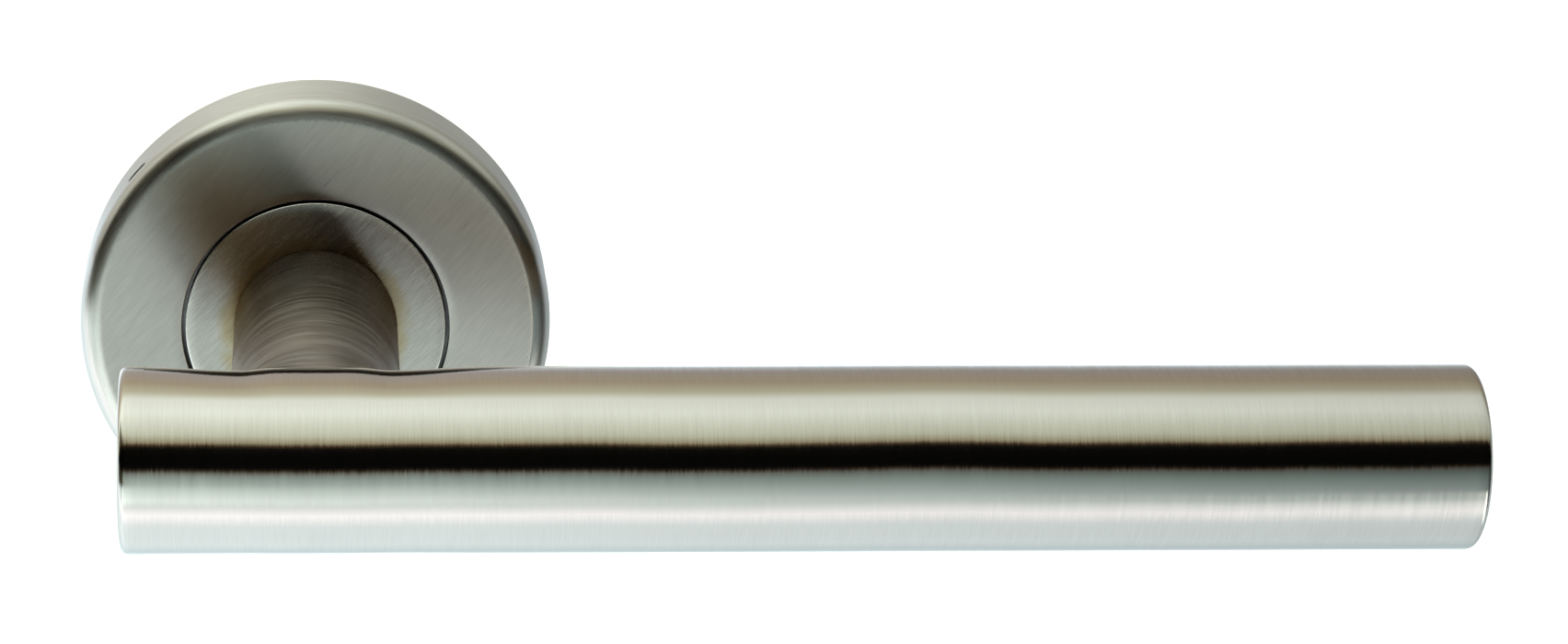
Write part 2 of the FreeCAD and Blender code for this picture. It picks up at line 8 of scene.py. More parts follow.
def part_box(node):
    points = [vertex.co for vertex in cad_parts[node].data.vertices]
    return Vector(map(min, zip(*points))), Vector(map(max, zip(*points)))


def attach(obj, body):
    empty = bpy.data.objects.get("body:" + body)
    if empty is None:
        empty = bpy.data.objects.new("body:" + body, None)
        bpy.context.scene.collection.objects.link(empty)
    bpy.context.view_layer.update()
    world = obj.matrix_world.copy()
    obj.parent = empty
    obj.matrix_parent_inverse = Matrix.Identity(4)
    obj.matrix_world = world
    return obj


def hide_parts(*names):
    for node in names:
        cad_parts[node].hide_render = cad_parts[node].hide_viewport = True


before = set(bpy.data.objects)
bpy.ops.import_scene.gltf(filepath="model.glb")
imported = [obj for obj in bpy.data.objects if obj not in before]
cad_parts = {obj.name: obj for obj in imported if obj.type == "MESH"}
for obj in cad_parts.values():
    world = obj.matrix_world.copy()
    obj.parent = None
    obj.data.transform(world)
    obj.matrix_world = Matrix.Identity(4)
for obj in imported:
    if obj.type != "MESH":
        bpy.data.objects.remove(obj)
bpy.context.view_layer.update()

# A door lever handle: clean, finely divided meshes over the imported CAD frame.
# Shapes are worked out in millimetres. Depth is the distance in front of the door (-Y).

MM = 0.001


def extent(node):
    """The lowest and highest corners of a CAD node, in millimetres."""
    low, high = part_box(node)
    return low / MM, high / MM


cover_low, cover_high = extent("rose_cover")
collar_high = extent("collar_disc")[1]
tube_low, tube_high = extent("grip_tube")
near_low = extent("end_cap_near")[0]
far_high = extent("end_cap_far")[1]
bolt_low, bolt_high = extent("through_bolts")
screw_low, screw_high = extent("wood_screws")

ROSE_RADIUS = cover_high.x
ROSE_DEPTH = -cover_low.y
COLLAR_RADIUS = collar_high.x
COLLAR_BACK = -collar_high.y
GRIP_RADIUS = (tube_high.z - tube_low.z) / 2
GRIP_Y = (tube_high.y + tube_low.y) / 2

COVER_WALL = 1.0
COVER_EDGE_RADIUS = 1.8
COVER_EDGE_SPREAD = 2.6
COVER_HOLE_RADIUS = 14.75
COVER_EASE = 0.12
COVER_WALL_ROWS = (1.5, 3.2)
COLLAR_BORE = 8.02
COLLAR_CHAMFER = 0.18
COLLAR_BACK_CHAMFER = 0.08
COLLAR_FRONT_MARGIN = 0.01
COLLAR_RIM_MARGIN = 0.05
SLOT_ANGLE = 139.0
SLOT_DEPTH = 5.95
SLOT_HALF_WIDTH = 1.4
SLOT_HALF_HEIGHT = 0.55
NECK_RADIUS = 9.0
NECK_BORE = 7.0
NECK_FOOT_ROUNDING = 0.25
# How far up the neck's foot the painted shade line reaches.
NECK_FOOT_SHADE_BAND = 0.32
NECK_BORE_ROW = 11.5
GRIP_BORE = 7.0
CAP_SPIGOT = 5.0
CAP_SPIGOT_GAP = 0.02
CAP_SPIGOT_CHAMFER = 0.4
CAP_EDGE_RADIUS = 0.7
CAP_SEAM_ROW = 0.8
GRUB_DEPTH = 19.0
GRUB_HOLE_RADIUS = 3.2
EDGE_MARGIN = 0.02
ROUND_STEPS = 192


# ---- Mesh building ----


def arc(x, y, radius, start, end, steps):
    """Points on an arc, from one angle to another in degrees."""
    points = []
    for i in range(steps + 1):
        a = math.radians(start + (end - start) * i / steps)
        points.append((x + radius * math.cos(a), y + radius * math.sin(a)))
    return points


def between(start, end, steps):
    """Points strictly between two points."""
    points = []
    for i in range(1, steps):
        f = i / steps
        points.append((start[0] + (end[0] - start[0]) * f, start[1] + (end[1] - start[1]) * f))
    return points


def skin(rings, closed=False):
    """Vertices and faces of a surface through rings; a ring of one point is a pole."""
    verts = []
    starts = []
    for ring in rings:
        starts.append(len(verts))
        verts.extend(ring)
    faces = []
    pairs = [(i, i + 1) for i in range(len(rings) - 1)]
    if closed:
        pairs.append((len(rings) - 1, 0))
    for i, j in pairs:
        a, b = starts[i], starts[j]
        n, m = len(rings[i]), len(rings[j])
        for k in range(max(n, m)):
            q = (k + 1) % max(n, m)
            if n == 1:
                faces.append((a, b + q, b + k))
            elif m == 1:
                faces.append((a + k, a + q, b))
            else:
                faces.append((a + k, a + q, b + q, b + k))
    return verts, faces


def turn_about_y(radius, depth, angles, x=0.0, z=0.0):
    """A ring square to the door. A radius of zero gives a pole."""
    if radius == 0:
        return [(x, -depth, z)]
    return [(x + radius * math.cos(a), -depth, z + radius * math.sin(a)) for a in angles]


def turn_about_grip(radius, x, angles):
    """A ring round the grip's axis; the angle runs from the hand's side up over the top."""
    if radius == 0:
        return [(x, GRIP_Y, 0.0)]
    return [(x, GRIP_Y - radius * math.cos(a), radius * math.sin(a)) for a in angles]


def even_angles(count):
    """Angles in radians evenly round a circle."""
    return [math.tau * i / count for i in range(count)]


def make_piece(name, parts, body, replaced, materials, crease=32.0, weld=0.002, choose=None):
    """Builds one object from (verts, faces) parts in millimetres and puts it on its body."""
    mesh = bpy.data.meshes.new(name)
    verts = []
    faces = []
    for part_verts, part_faces in parts:
        start = len(verts)
        verts.extend([(x * MM, y * MM, z * MM) for x, y, z in part_verts])
        faces.extend([tuple(start + i for i in face) for face in part_faces])
    mesh.from_pydata(verts, [], faces)
    bm = bmesh.new()
    bm.from_mesh(mesh)
    bmesh.ops.remove_doubles(bm, verts=bm.verts, dist=weld * MM)
    bmesh.ops.recalc_face_normals(bm, faces=bm.faces)
    bm.to_mesh(mesh)
    bm.free()
    mesh.shade_smooth()
    mesh.set_sharp_from_angle(angle=math.radians(crease))
    for material in materials:
        mesh.materials.append(material)
    if choose:
        for polygon in mesh.polygons:
            polygon.material_index = choose(polygon.center / MM, polygon.normal)
    piece = bpy.data.objects.new(name, mesh)
    bpy.context.scene.collection.objects.link(piece)
    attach(piece, body)
    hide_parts(*replaced)
    return piece


# ---- Materials ----

STEEL = (0.62, 0.585, 0.535)
# The rose's wall, a lighter copy of the steel: painted light.
LIT_WALL_STEEL = (0.79, 0.78, 0.76)
# The neck's steel, lighter than the other steel: painted light. Its foot's colour, darker and warmer: painted
# shade of the collar's dark reflection, partly weld heat tint.
NECK_LIT_STEEL = (0.93, 0.89, 0.82)
NECK_FOOT_SHADED_STEEL = (0.50, 0.44, 0.35)
# Darker straw-brown steel near the neck's foot: partly weld heat tint, partly painted shade and reflection of
# the neck.
STRAW_AND_SHADE_STEEL = (0.56, 0.46, 0.30)
POLISHED_STEEL = (0.78, 0.75, 0.70)
# Near-black steel for the gaps round the collar and at the neck's foot: painted shade, not a colour the steel
# has.
PAINTED_GAP_SHADE = (0.10, 0.09, 0.08)
TURNED_STEEL = (0.55, 0.55, 0.55)

# The extent of one scratch along each axis, in millimetres.
SCRATCH_LONG = 4.0
SCRATCH_FINE = 0.14
GRIP_SCRATCH = (0.16, 4.0, 4.0)
NECK_SCRATCH = (4.0, 0.18, 4.0)
FACE_SCRATCH = (2.6, 0.16, 0.16)
COLLAR_SCRATCH = (2.2, 0.16, 0.16)
WALL_SCRATCH = (SCRATCH_LONG, SCRATCH_FINE, SCRATCH_LONG)
RIM_SCRATCH = (SCRATCH_LONG, 0.12, SCRATCH_LONG)
TURNED_SCRATCH = (SCRATCH_LONG, 0.10, SCRATCH_LONG)
END_SCRATCH = (SCRATCH_FINE, SCRATCH_FINE, SCRATCH_LONG)
SWAY_LENGTH = (26.0, 300.0, 300.0)

# Wider streaks are fine ones this many times as large, moved so that the two don't line up.
WIDE_ACROSS = 4.0
WIDE_ALONG = 3.0
WIDE_OFFSET = (0.013, 0.007, 0.011)

# Directions square to the scratches, nudged off the axes so that no normal lies along them.
ALONG_GRIP = (1.0, 0.02, 0.03)
ALONG_NECK = (0.02, 1.0, 0.03)
ALONG_WALL = (0.01, 1.0, 0.02)
ACROSS_END = (0.03, 1.0, 0.0)
FACE_NUDGE = 0.03
FACE_LAY = math.radians(49.0)
COLLAR_LAY = math.radians(46.0)
NO_TURN = (0.0, 0.0, 0.0)

# The zone on the grip that is ground with the weld: behind the axis, along it and above it.
GROUND_BEHIND = (0.4, 2.4)
GROUND_ALONG = (22.0, 36.0)
GROUND_ABOVE = (7.4, 8.6)
GROUND_ROUGHNESS = 0.26
GROUND_DULLNESS = 0.65
GRIP_ROUGHNESS = 0.16

# Where one finish gives way to the next, in millimetres.
# How far along the neck the painted shade at its foot fades into painted light, and how ragged that edge is.
NECK_SHADE_REACH = (1.0, 27.0)
NECK_SHADE_RAGGED = 2.5
STRAW_AND_SHADE_RADII = (9.3, 11.2)
STRAW_AND_SHADE_RAGGED = 0.7
RUBBED_EDGE = (0.35, 0.05)
RUBBED_RAGGED = 0.10
FACE_END = (2.6, 1.7)
WALL_START = (0.5, 1.8)

FACE_ROUGHNESS = 0.30
ROUNDING_ROUGHNESS = 0.22
WALL_ROUGHNESS = 0.40
NOISE_RANGE = (0.3, 0.7)
NOISE_ROUGHNESS = 0.6
EDGE_POINTINESS = (0.51, 0.60)
EDGE_WEAR = 0.15
GRAIN_ROUGH_SHADE = 0.08


class Nodes:
    """A short way to write a node tree."""

    def __init__(self, tree):
        self.tree = tree
        tree.nodes.clear()

    def new(self, kind):
        return self.tree.nodes.new(kind)

    def put(self, socket, value):
        if isinstance(value, bpy.types.NodeSocket):
            self.tree.links.new(value, socket)
        else:
            socket.default_value = value

    def math(self, operation, a, b=0.0):
        node = self.new("ShaderNodeMath")
        node.operation = operation
        self.put(node.inputs[0], a)
        self.put(node.inputs[1], b)
        return node.outputs[0]

    def product(self, first, *others):
        """Several numbers multiplied together."""
        for other in others:
            first = self.math("MULTIPLY", first, other)
        return first

    def vector(self, operation, a, b=None, scale=None):
        node = self.new("ShaderNodeVectorMath")
        node.operation = operation
        self.put(node.inputs[0], a)
        if b is not None:
            self.put(node.inputs[1], b)
        if scale is not None:
            self.put(node.inputs["Scale"], scale)
        return node.outputs[0]

    def split(self, vector):
        """The three numbers of a vector."""
        node = self.new("ShaderNodeSeparateXYZ")
        self.put(node.inputs[0], vector)
        return node.outputs[0], node.outputs[1], node.outputs[2]

    def remap(self, value, start, end, low=0.0, high=1.0, smoothly=False):
        """A number that runs from low at start to high at end, and stays there beyond them."""
        node = self.new("ShaderNodeMapRange")
        if smoothly:
            node.interpolation_type = "SMOOTHSTEP"
        self.put(node.inputs["Value"], value)
        node.inputs["From Min"].default_value = start
        node.inputs["From Max"].default_value = end
        node.inputs["To Min"].default_value = low
        node.inputs["To Max"].default_value = high
        return node.outputs[0]

    def ease(self, value, start, end, low=0.0, high=1.0):
        """The same with a smooth start and end."""
        return self.remap(value, start, end, low, high, smoothly=True)


class Graph(Nodes):
    """The nodes of one material."""

    def __init__(self, name):
        self.material = bpy.data.materials.new(name)
        self.material.use_nodes = True
        super().__init__(self.material.node_tree)
        self.shader = self.new("ShaderNodeBsdfPrincipled")
        self.put(self.new("ShaderNodeOutputMaterial").inputs[0], self.shader.outputs[0])
        self.place = self.new("ShaderNodeTexCoord").outputs["Object"]

    def stretched(self, size, rotation=NO_TURN, offset=(0.0, 0.0, 0.0)):
        """Object coordinates in which a feature of this size, in millimetres, is one unit."""
        node = self.new("ShaderNodeMapping")
        node.vector_type = "TEXTURE"
        node.inputs["Location"].default_value = offset
        node.inputs["Rotation"].default_value = rotation
        node.inputs["Scale"].default_value = [s * MM for s in size]
        self.put(node.inputs["Vector"], self.place)
        return node.outputs[0]

    def noise(self, place, detail=2.0):
        node = self.new("ShaderNodeTexNoise")
        node.inputs["Scale"].default_value = 1.0
        node.inputs["Detail"].default_value = detail
        node.inputs["Roughness"].default_value = NOISE_ROUGHNESS
        self.put(node.inputs["Vector"], place)
        return node.outputs[0]

    def spread(self, value, low, high):
        """Noise, which is mostly within its usual range, spread between two values."""
        return self.remap(value, *NOISE_RANGE, low, high)

    def tint(self, color, factor):
        """A colour times a number."""
        return self.vector("SCALE", color, scale=factor)

    def mix(self, factor, a, b):
        """A number between a and b."""
        node = self.new("ShaderNodeMix")
        node.data_type = "FLOAT"
        self.put(node.inputs[0], factor)
        self.put(node.inputs[2], a)
        self.put(node.inputs[3], b)
        return node.outputs[0]

    def mix_vector(self, factor, a, b):
        """A vector or colour between a and b."""
        node = self.new("ShaderNodeMix")
        node.data_type = "VECTOR"
        self.put(node.inputs[0], factor)
        self.put(node.inputs[4], a)
        self.put(node.inputs[5], b)
        return node.outputs[1]

    def radius(self):
        """The distance from the spindle's axis, in millimetres."""
        x, _, z = self.split(self.place)
        flat = self.new("ShaderNodeCombineXYZ")
        self.put(flat.inputs[0], x)
        self.put(flat.inputs[2], z)
        length = self.new("ShaderNodeVectorMath")
        length.operation = "LENGTH"
        self.put(length.inputs[0], flat.outputs[0])
        return self.math("MULTIPLY", length.outputs["Value"], 1 / MM)

    def depth(self):
        """The distance in front of the door, in millimetres."""
        return self.math("MULTIPLY", self.split(self.place)[1], -1 / MM)

    def to_world(self, direction):
        node = self.new("ShaderNodeVectorTransform")
        node.vector_type = "VECTOR"
        node.convert_from = "OBJECT"
        node.convert_to = "WORLD"
        node.inputs[0].default_value = direction
        return node.outputs[0]

    def worn_edges(self):
        """A factor over 1 on outer edges, where handling brightens them."""
        sharp = self.new("ShaderNodeNewGeometry").outputs["Pointiness"]
        return self.remap(sharp, *EDGE_POINTINESS, 1.0, 1.0 + EDGE_WEAR)


def brush_lines(g, size, rotation=NO_TURN):
    """Fine and wider noise, drawn out along the scratches."""
    fine = g.noise(g.stretched(size, rotation), detail=3.0)
    wide_size = [s * (WIDE_ACROSS if s < 1 else WIDE_ALONG) for s in size]
    wide = g.noise(g.stretched(wide_size, rotation, WIDE_OFFSET))
    return fine, wide


def finish_brushed(g, color, roughness, side, fine, wide, shade, rough_shade, along_tilt, across_tilt,
                   blotch=0.04, sway=0.0):
    """Links the colour, roughness and normal of brushed steel. side points across the scratches."""
    cloud = g.noise(g.stretched((14.0, 14.0, 14.0)), detail=3.0)
    level = g.product(g.spread(fine, 1 - shade, 1 + shade), g.spread(wide, 1 - shade / 2, 1 + shade / 2),
                      g.spread(cloud, 1 - blotch, 1 + blotch))
    g.put(g.shader.inputs["Base Color"], g.tint(color, level))
    g.shader.inputs["Metallic"].default_value = 1.0
    rough = g.math("ADD", roughness, g.spread(wide, -rough_shade, rough_shade))
    rough = g.math("ADD", rough, g.spread(fine, -rough_shade / 2, rough_shade / 2))
    g.put(g.shader.inputs["Roughness"], rough)
    g.put(g.shader.inputs["Tangent"], side)
    normal = g.new("ShaderNodeNewGeometry").outputs["Normal"]
    run = g.vector("NORMALIZE", g.vector("CROSS_PRODUCT", normal, side))
    lean = g.vector("SCALE", run, scale=g.spread(fine, -along_tilt, along_tilt))
    if sway:
        hand_ground = g.noise(g.stretched(SWAY_LENGTH), detail=1.0)
        lean = g.vector("ADD", lean, g.vector("SCALE", run, scale=g.spread(hand_ground, -sway, sway)))
    roll = g.vector("SCALE", side, scale=g.spread(wide, -across_tilt, across_tilt))
    tilted = g.vector("NORMALIZE", g.vector("ADD", g.vector("ADD", normal, lean), roll))
    g.put(g.shader.inputs["Normal"], tilted)


def brushed(name, color, roughness, anisotropy, size, across, along_tilt, across_tilt):
    """Brushed steel with one lay. size is a scratch's extent along each axis, in millimetres."""
    g = Graph(name)
    fine, wide = brush_lines(g, size)
    g.shader.inputs["Anisotropic"].default_value = anisotropy
    finish_brushed(g, color, roughness, g.to_world(across), fine, wide, shade=0.08, rough_shade=0.03,
                   along_tilt=along_tilt, across_tilt=across_tilt)
    return g.material


def lay_across(angle):
    """The direction in the rose's face square to scratches at an angle, nudged off the face."""
    return (-math.sin(angle), FACE_NUDGE, math.cos(angle))


def grip_finish(name):
    """The grip's steel, brushed round its axis and duller on top, where the neck's weld is ground."""
    g = Graph(name)
    fine, wide = brush_lines(g, GRIP_SCRATCH)
    x, y, z = g.split(g.place)
    behind = g.ease(y, *[(GRIP_Y + edge) * MM for edge in GROUND_BEHIND])
    near = g.ease(g.math("ABSOLUTE", x), *[edge * MM for edge in GROUND_ALONG], 1.0, 0.0)
    high = g.ease(z, *[edge * MM for edge in GROUND_ABOVE])
    ground = g.product(behind, near, high)
    roughness = g.math("ADD", g.math("MULTIPLY", ground, GROUND_ROUGHNESS), GRIP_ROUGHNESS)
    g.shader.inputs["Anisotropic"].default_value = 0.92
    finish_brushed(g, STEEL, roughness, g.to_world(ALONG_GRIP), fine, wide, shade=0.03, rough_shade=0.015,
                   along_tilt=0.012, across_tilt=0.008, blotch=0.02, sway=0.014)
    dull = g.math("MULTIPLY", ground, GROUND_DULLNESS)
    g.put(g.shader.inputs["Metallic"], g.math("SUBTRACT", 1.0, dull))
    return g.material


def neck_finish(name):
    """The neck's steel, brushed round its axis, painted darker and warmer towards its foot (painted shade of
    the dark collar's reflection, partly weld heat tint) and painted lighter than the other steel towards the
    grip (painted light).
    """
    g = Graph(name)
    fine, wide = brush_lines(g, NECK_SCRATCH)
    cloud = g.noise(g.stretched((5.0, 3.0, 5.0)))
    reach = g.math("ADD", g.depth(), g.spread(cloud, -NECK_SHADE_RAGGED, NECK_SHADE_RAGGED))
    lit_share = g.ease(reach, *[ROSE_DEPTH + edge for edge in NECK_SHADE_REACH])
    # Painted shade at the foot, turning to painted light towards the grip.
    color = g.mix_vector(lit_share, NECK_FOOT_SHADED_STEEL, NECK_LIT_STEEL)
    g.shader.inputs["Anisotropic"].default_value = 0.92
    finish_brushed(g, color, 0.21, g.to_world(ALONG_NECK), fine, wide, shade=0.20, rough_shade=0.03,
                   along_tilt=0.05, across_tilt=0.03, blotch=0.10)
    return g.material


def collar_finish(name):
    """The collar's brushed front, darker and straw-brown near the neck's weld: partly a heat tint, partly
    painted shade and reflection of the neck.
    """
    g = Graph(name)
    radius = g.radius()
    fine, wide = brush_lines(g, COLLAR_SCRATCH, (0.0, -COLLAR_LAY, 0.0))
    patch = g.noise(g.stretched((3.0, 3.0, 3.0)))
    reach = g.math("ADD", radius, g.spread(patch, -STRAW_AND_SHADE_RAGGED, STRAW_AND_SHADE_RAGGED))
    # Straw-brown near the neck: partly heat tint, partly painted shade and reflection.
    color = g.mix_vector(g.ease(reach, *STRAW_AND_SHADE_RADII), STRAW_AND_SHADE_STEEL, STEEL)
    rubbed = g.math("ADD", radius, g.spread(patch, -RUBBED_RAGGED, RUBBED_RAGGED))
    rubbed = g.ease(rubbed, *[COLLAR_RADIUS - edge for edge in RUBBED_EDGE])
    color = g.mix_vector(rubbed, color, POLISHED_STEEL)
    g.shader.inputs["Anisotropic"].default_value = 0.95
    finish_brushed(g, color, 0.26, g.to_world(lay_across(COLLAR_LAY)), fine, wide, shade=0.09,
                   rough_shade=0.03, along_tilt=0.006, across_tilt=0.02)
    return g.material


def cover_finish(name):
    """The cover: straight brushing on its face, round brushing on its wall, a mopped rounding between. The
    wall's colour is a lighter copy of the steel: painted light.
    """
    g = Graph(name)
    off_face = g.ease(g.radius(), *[ROSE_RADIUS - edge for edge in FACE_END])
    on_wall = g.ease(g.depth(), *[ROSE_DEPTH - edge for edge in WALL_START])
    face_fine, face_wide = brush_lines(g, FACE_SCRATCH, (0.0, -FACE_LAY, 0.0))
    wall_fine, wall_wide = brush_lines(g, WALL_SCRATCH)
    fine = g.mix(off_face, face_fine, wall_fine)
    wide = g.mix(off_face, face_wide, wall_wide)
    side = g.mix_vector(off_face, g.to_world(lay_across(FACE_LAY)), g.to_world(ALONG_WALL))
    side = g.vector("NORMALIZE", side)
    roughness = g.mix(off_face, FACE_ROUGHNESS, ROUNDING_ROUGHNESS)
    roughness = g.mix(on_wall, roughness, WALL_ROUGHNESS)
    # The wall is painted lighter than the face: painted light.
    color = g.mix_vector(on_wall, STEEL, LIT_WALL_STEEL)
    g.shader.inputs["Anisotropic"].default_value = 0.95
    finish_brushed(g, color, roughness, side, fine, wide, shade=0.07, rough_shade=0.02,
                   along_tilt=0.004, across_tilt=0.02)
    return g.material


def grained(name, color, metallic, roughness, grain, shade=0.08, bump=0.004):
    """A cast, plated, tempered or moulded surface with an even grain of this size."""
    g = Graph(name)
    fine = g.noise(g.stretched((grain, grain, grain)), detail=4.0)
    cloud = g.noise(g.stretched((6.0, 6.0, 6.0)), detail=3.0)
    level = g.product(g.spread(fine, 1 - shade, 1 + shade), g.spread(cloud, 1 - shade, 1 + shade),
                      g.worn_edges())
    g.put(g.shader.inputs["Base Color"], g.tint(color, level))
    g.shader.inputs["Metallic"].default_value = metallic
    rough = g.spread(cloud, roughness - GRAIN_ROUGH_SHADE, roughness + GRAIN_ROUGH_SHADE)
    g.put(g.shader.inputs["Roughness"], rough)
    node = g.new("ShaderNodeBump")
    node.inputs["Strength"].default_value = 1.0
    node.inputs["Distance"].default_value = bump * MM
    g.put(node.inputs["Height"], fine)
    g.put(g.shader.inputs["Normal"], node.outputs[0])
    return g.material


grip_steel = grip_finish("grip_steel")
neck_steel = neck_finish("neck_steel")
collar_steel = collar_finish("collar_steel")
cover_steel = cover_finish("cover_steel")
collar_wall = brushed("collar_wall", STEEL, 0.30, 0.70, RIM_SCRATCH, ALONG_WALL, 0.01, 0.015)
# The near-black steel in the gaps is painted shade.
painted_gap_shade = brushed("painted_gap_shade", PAINTED_GAP_SHADE, 0.50, 0.50, RIM_SCRATCH, ALONG_WALL, 0.01, 0.015)
turned_steel = brushed("turned_steel", TURNED_STEEL, 0.30, 0.60, TURNED_SCRATCH, ALONG_NECK, 0.02, 0.06)
cap_steel = brushed("cap_steel", STEEL, 0.28, 0.85, END_SCRATCH, ACROSS_END, 0.01, 0.04)
plated_steel = grained("plated_steel", (0.66, 0.67, 0.68), 1.0, 0.30, 0.25)
bolt_steel = grained("bolt_steel", (0.68, 0.68, 0.66), 1.0, 0.28, 0.18)
spring_steel = grained("spring_steel", (0.30, 0.29, 0.28), 1.0, 0.36, 0.20)
black_steel = grained("black_steel", (0.08, 0.08, 0.08), 0.6, 0.42, 0.15, bump=0.006)
zinc_casting = grained("zinc_casting", (0.45, 0.45, 0.46), 1.0, 0.48, 0.35, bump=0.012)
acetal = grained("acetal", (0.88, 0.87, 0.84), 0.0, 0.40, 0.30, shade=0.03)

# The finish of each slot that a carried-over CAD node has.
slot_materials = {
    "turned_steel": turned_steel,
    "plated_steel": plated_steel,
    "spring_steel": spring_steel,
    "black_steel": black_steel,
    "zinc_casting": zinc_casting,
    "acetal": acetal,
}


# ---- Rose cover ----

SLOT_COLUMNS = 12
SLOT_WINDOW = 2.1
SLOT_MARGIN = 0.6
SLOT_SQUARENESS = 3
SLOT_RINGS = (0.0, 0.4, 0.75, 1.0)
SLOT_ROWS = (5.1, 5.4, 5.7, 5.95, 6.2, 6.5, 6.8)


def slotted_angles():
    """Even angles in degrees, with a finer even run across the pry slot, and the run's first column."""
    half = math.degrees(SLOT_WINDOW / ROSE_RADIUS)
    coarse = [360.0 * i / ROUND_STEPS for i in range(ROUND_STEPS)]
    before = [a for a in coarse if a < SLOT_ANGLE - half - SLOT_MARGIN]
    after = [a for a in coarse if a > SLOT_ANGLE + half + SLOT_MARGIN]
    run = [SLOT_ANGLE + half * (2 * i / SLOT_COLUMNS - 1) for i in range(SLOT_COLUMNS + 1)]
    return before + run + after, len(before)


def slot_patch(radius, run):
    """Rings on the wall from the slot's window of faces in to its rounded outline."""
    rows = SLOT_ROWS
    loop = [(a, rows[0]) for a in run[:-1]]
    loop += [(run[-1], d) for d in rows[:-1]]
    loop += [(a, rows[-1]) for a in reversed(run[1:])]
    loop += [(run[0], d) for d in reversed(rows[1:])]
    half_angle = math.degrees(SLOT_HALF_WIDTH / ROSE_RADIUS)
    rings = []
    for f in SLOT_RINGS:
        ring = []
        for angle, depth in loop:
            across = (angle - SLOT_ANGLE) / (run[-1] - SLOT_ANGLE)
            along = (depth - SLOT_DEPTH) / (rows[-1] - SLOT_DEPTH)
            size = (abs(across) ** SLOT_SQUARENESS + abs(along) ** SLOT_SQUARENESS) ** (1 / SLOT_SQUARENESS)
            rim_angle = SLOT_ANGLE + half_angle * across / size
            rim_depth = SLOT_DEPTH + SLOT_HALF_HEIGHT * along / size
            a = math.radians(angle + (rim_angle - angle) * f)
            ring.append((radius * math.cos(a), -(depth + (rim_depth - depth) * f), radius * math.sin(a)))
        rings.append(ring)
    return rings


def without_window(rings, windows, first):
    """Faces of a closed set of rings, leaving out the pry slot's window on some rows."""
    verts, faces = skin(rings, closed=True)
    count = len(rings[0])
    kept = []
    for index, face in enumerate(faces):
        row = index // count
        in_rows = any(low <= row < low + len(SLOT_ROWS) - 1 for low in windows)
        in_columns = first <= index % count < first + SLOT_COLUMNS
        if not (in_rows and in_columns):
            kept.append(face)
    return verts, kept


def make_cover():
    """The dish: its wall with the slot, its soft rounding, its face and the hole, inside and out."""
    angles, first = slotted_angles()
    edge = COVER_EDGE_RADIUS
    shoulder = ROSE_RADIUS - COVER_EDGE_SPREAD
    inner = ROSE_RADIUS - COVER_WALL
    inner_edge = edge - COVER_WALL
    hole = COVER_HOLE_RADIUS
    back_face = ROSE_DEPTH - COVER_WALL
    ease = COVER_EASE
    profile = arc(ROSE_RADIUS - ease, ease, ease, -90, 0, 4)
    profile += [(ROSE_RADIUS, depth) for depth in COVER_WALL_ROWS]
    outer_row = len(profile)
    profile += [(ROSE_RADIUS, depth) for depth in SLOT_ROWS]
    for radius, depth in arc(0.0, 0.0, 1.0, 0, 90, 24):
        profile.append((shoulder + COVER_EDGE_SPREAD * radius, ROSE_DEPTH - edge + edge * depth))
    profile += between((shoulder, ROSE_DEPTH), (hole + ease, ROSE_DEPTH), 8)
    profile += arc(hole + ease, ROSE_DEPTH - ease, ease, 90, 180, 4)
    profile += arc(hole + ease, back_face + ease, ease, 180, 270, 3)
    inner_shoulder = inner - inner_edge
    profile += between((hole + ease, back_face), (inner_shoulder, back_face), 4)
    profile += arc(inner_shoulder, back_face - inner_edge, inner_edge, 90, 0, 8)
    inner_row = len(profile)
    profile += [(inner, depth) for depth in reversed(SLOT_ROWS)]
    profile += [(inner, depth) for depth in reversed(COVER_WALL_ROWS)]
    profile += arc(inner + ease, ease, ease, 180, 270, 4)
    turned = [math.radians(a) for a in angles]
    rings = [turn_about_y(radius, depth, turned) for radius, depth in profile]
    run = angles[first:first + SLOT_COLUMNS + 1]
    outside = slot_patch(ROSE_RADIUS, run)
    inside = slot_patch(inner, run)
    parts = [without_window(rings, (outer_row, inner_row), first)]
    parts += [skin(outside), skin(inside), skin([outside[-1], inside[-1]])]

    # The hole's wall takes the near-black steel: painted shade in the gap round the collar.
    def choose(center, normal):
        return 1 if math.hypot(center.x, center.z) < hole + EDGE_MARGIN else 0

    return make_piece("cover_shell", parts, "rose", ["rose_cover"],
                      [cover_steel, painted_gap_shade], choose=choose)


# ---- Collar disc ----


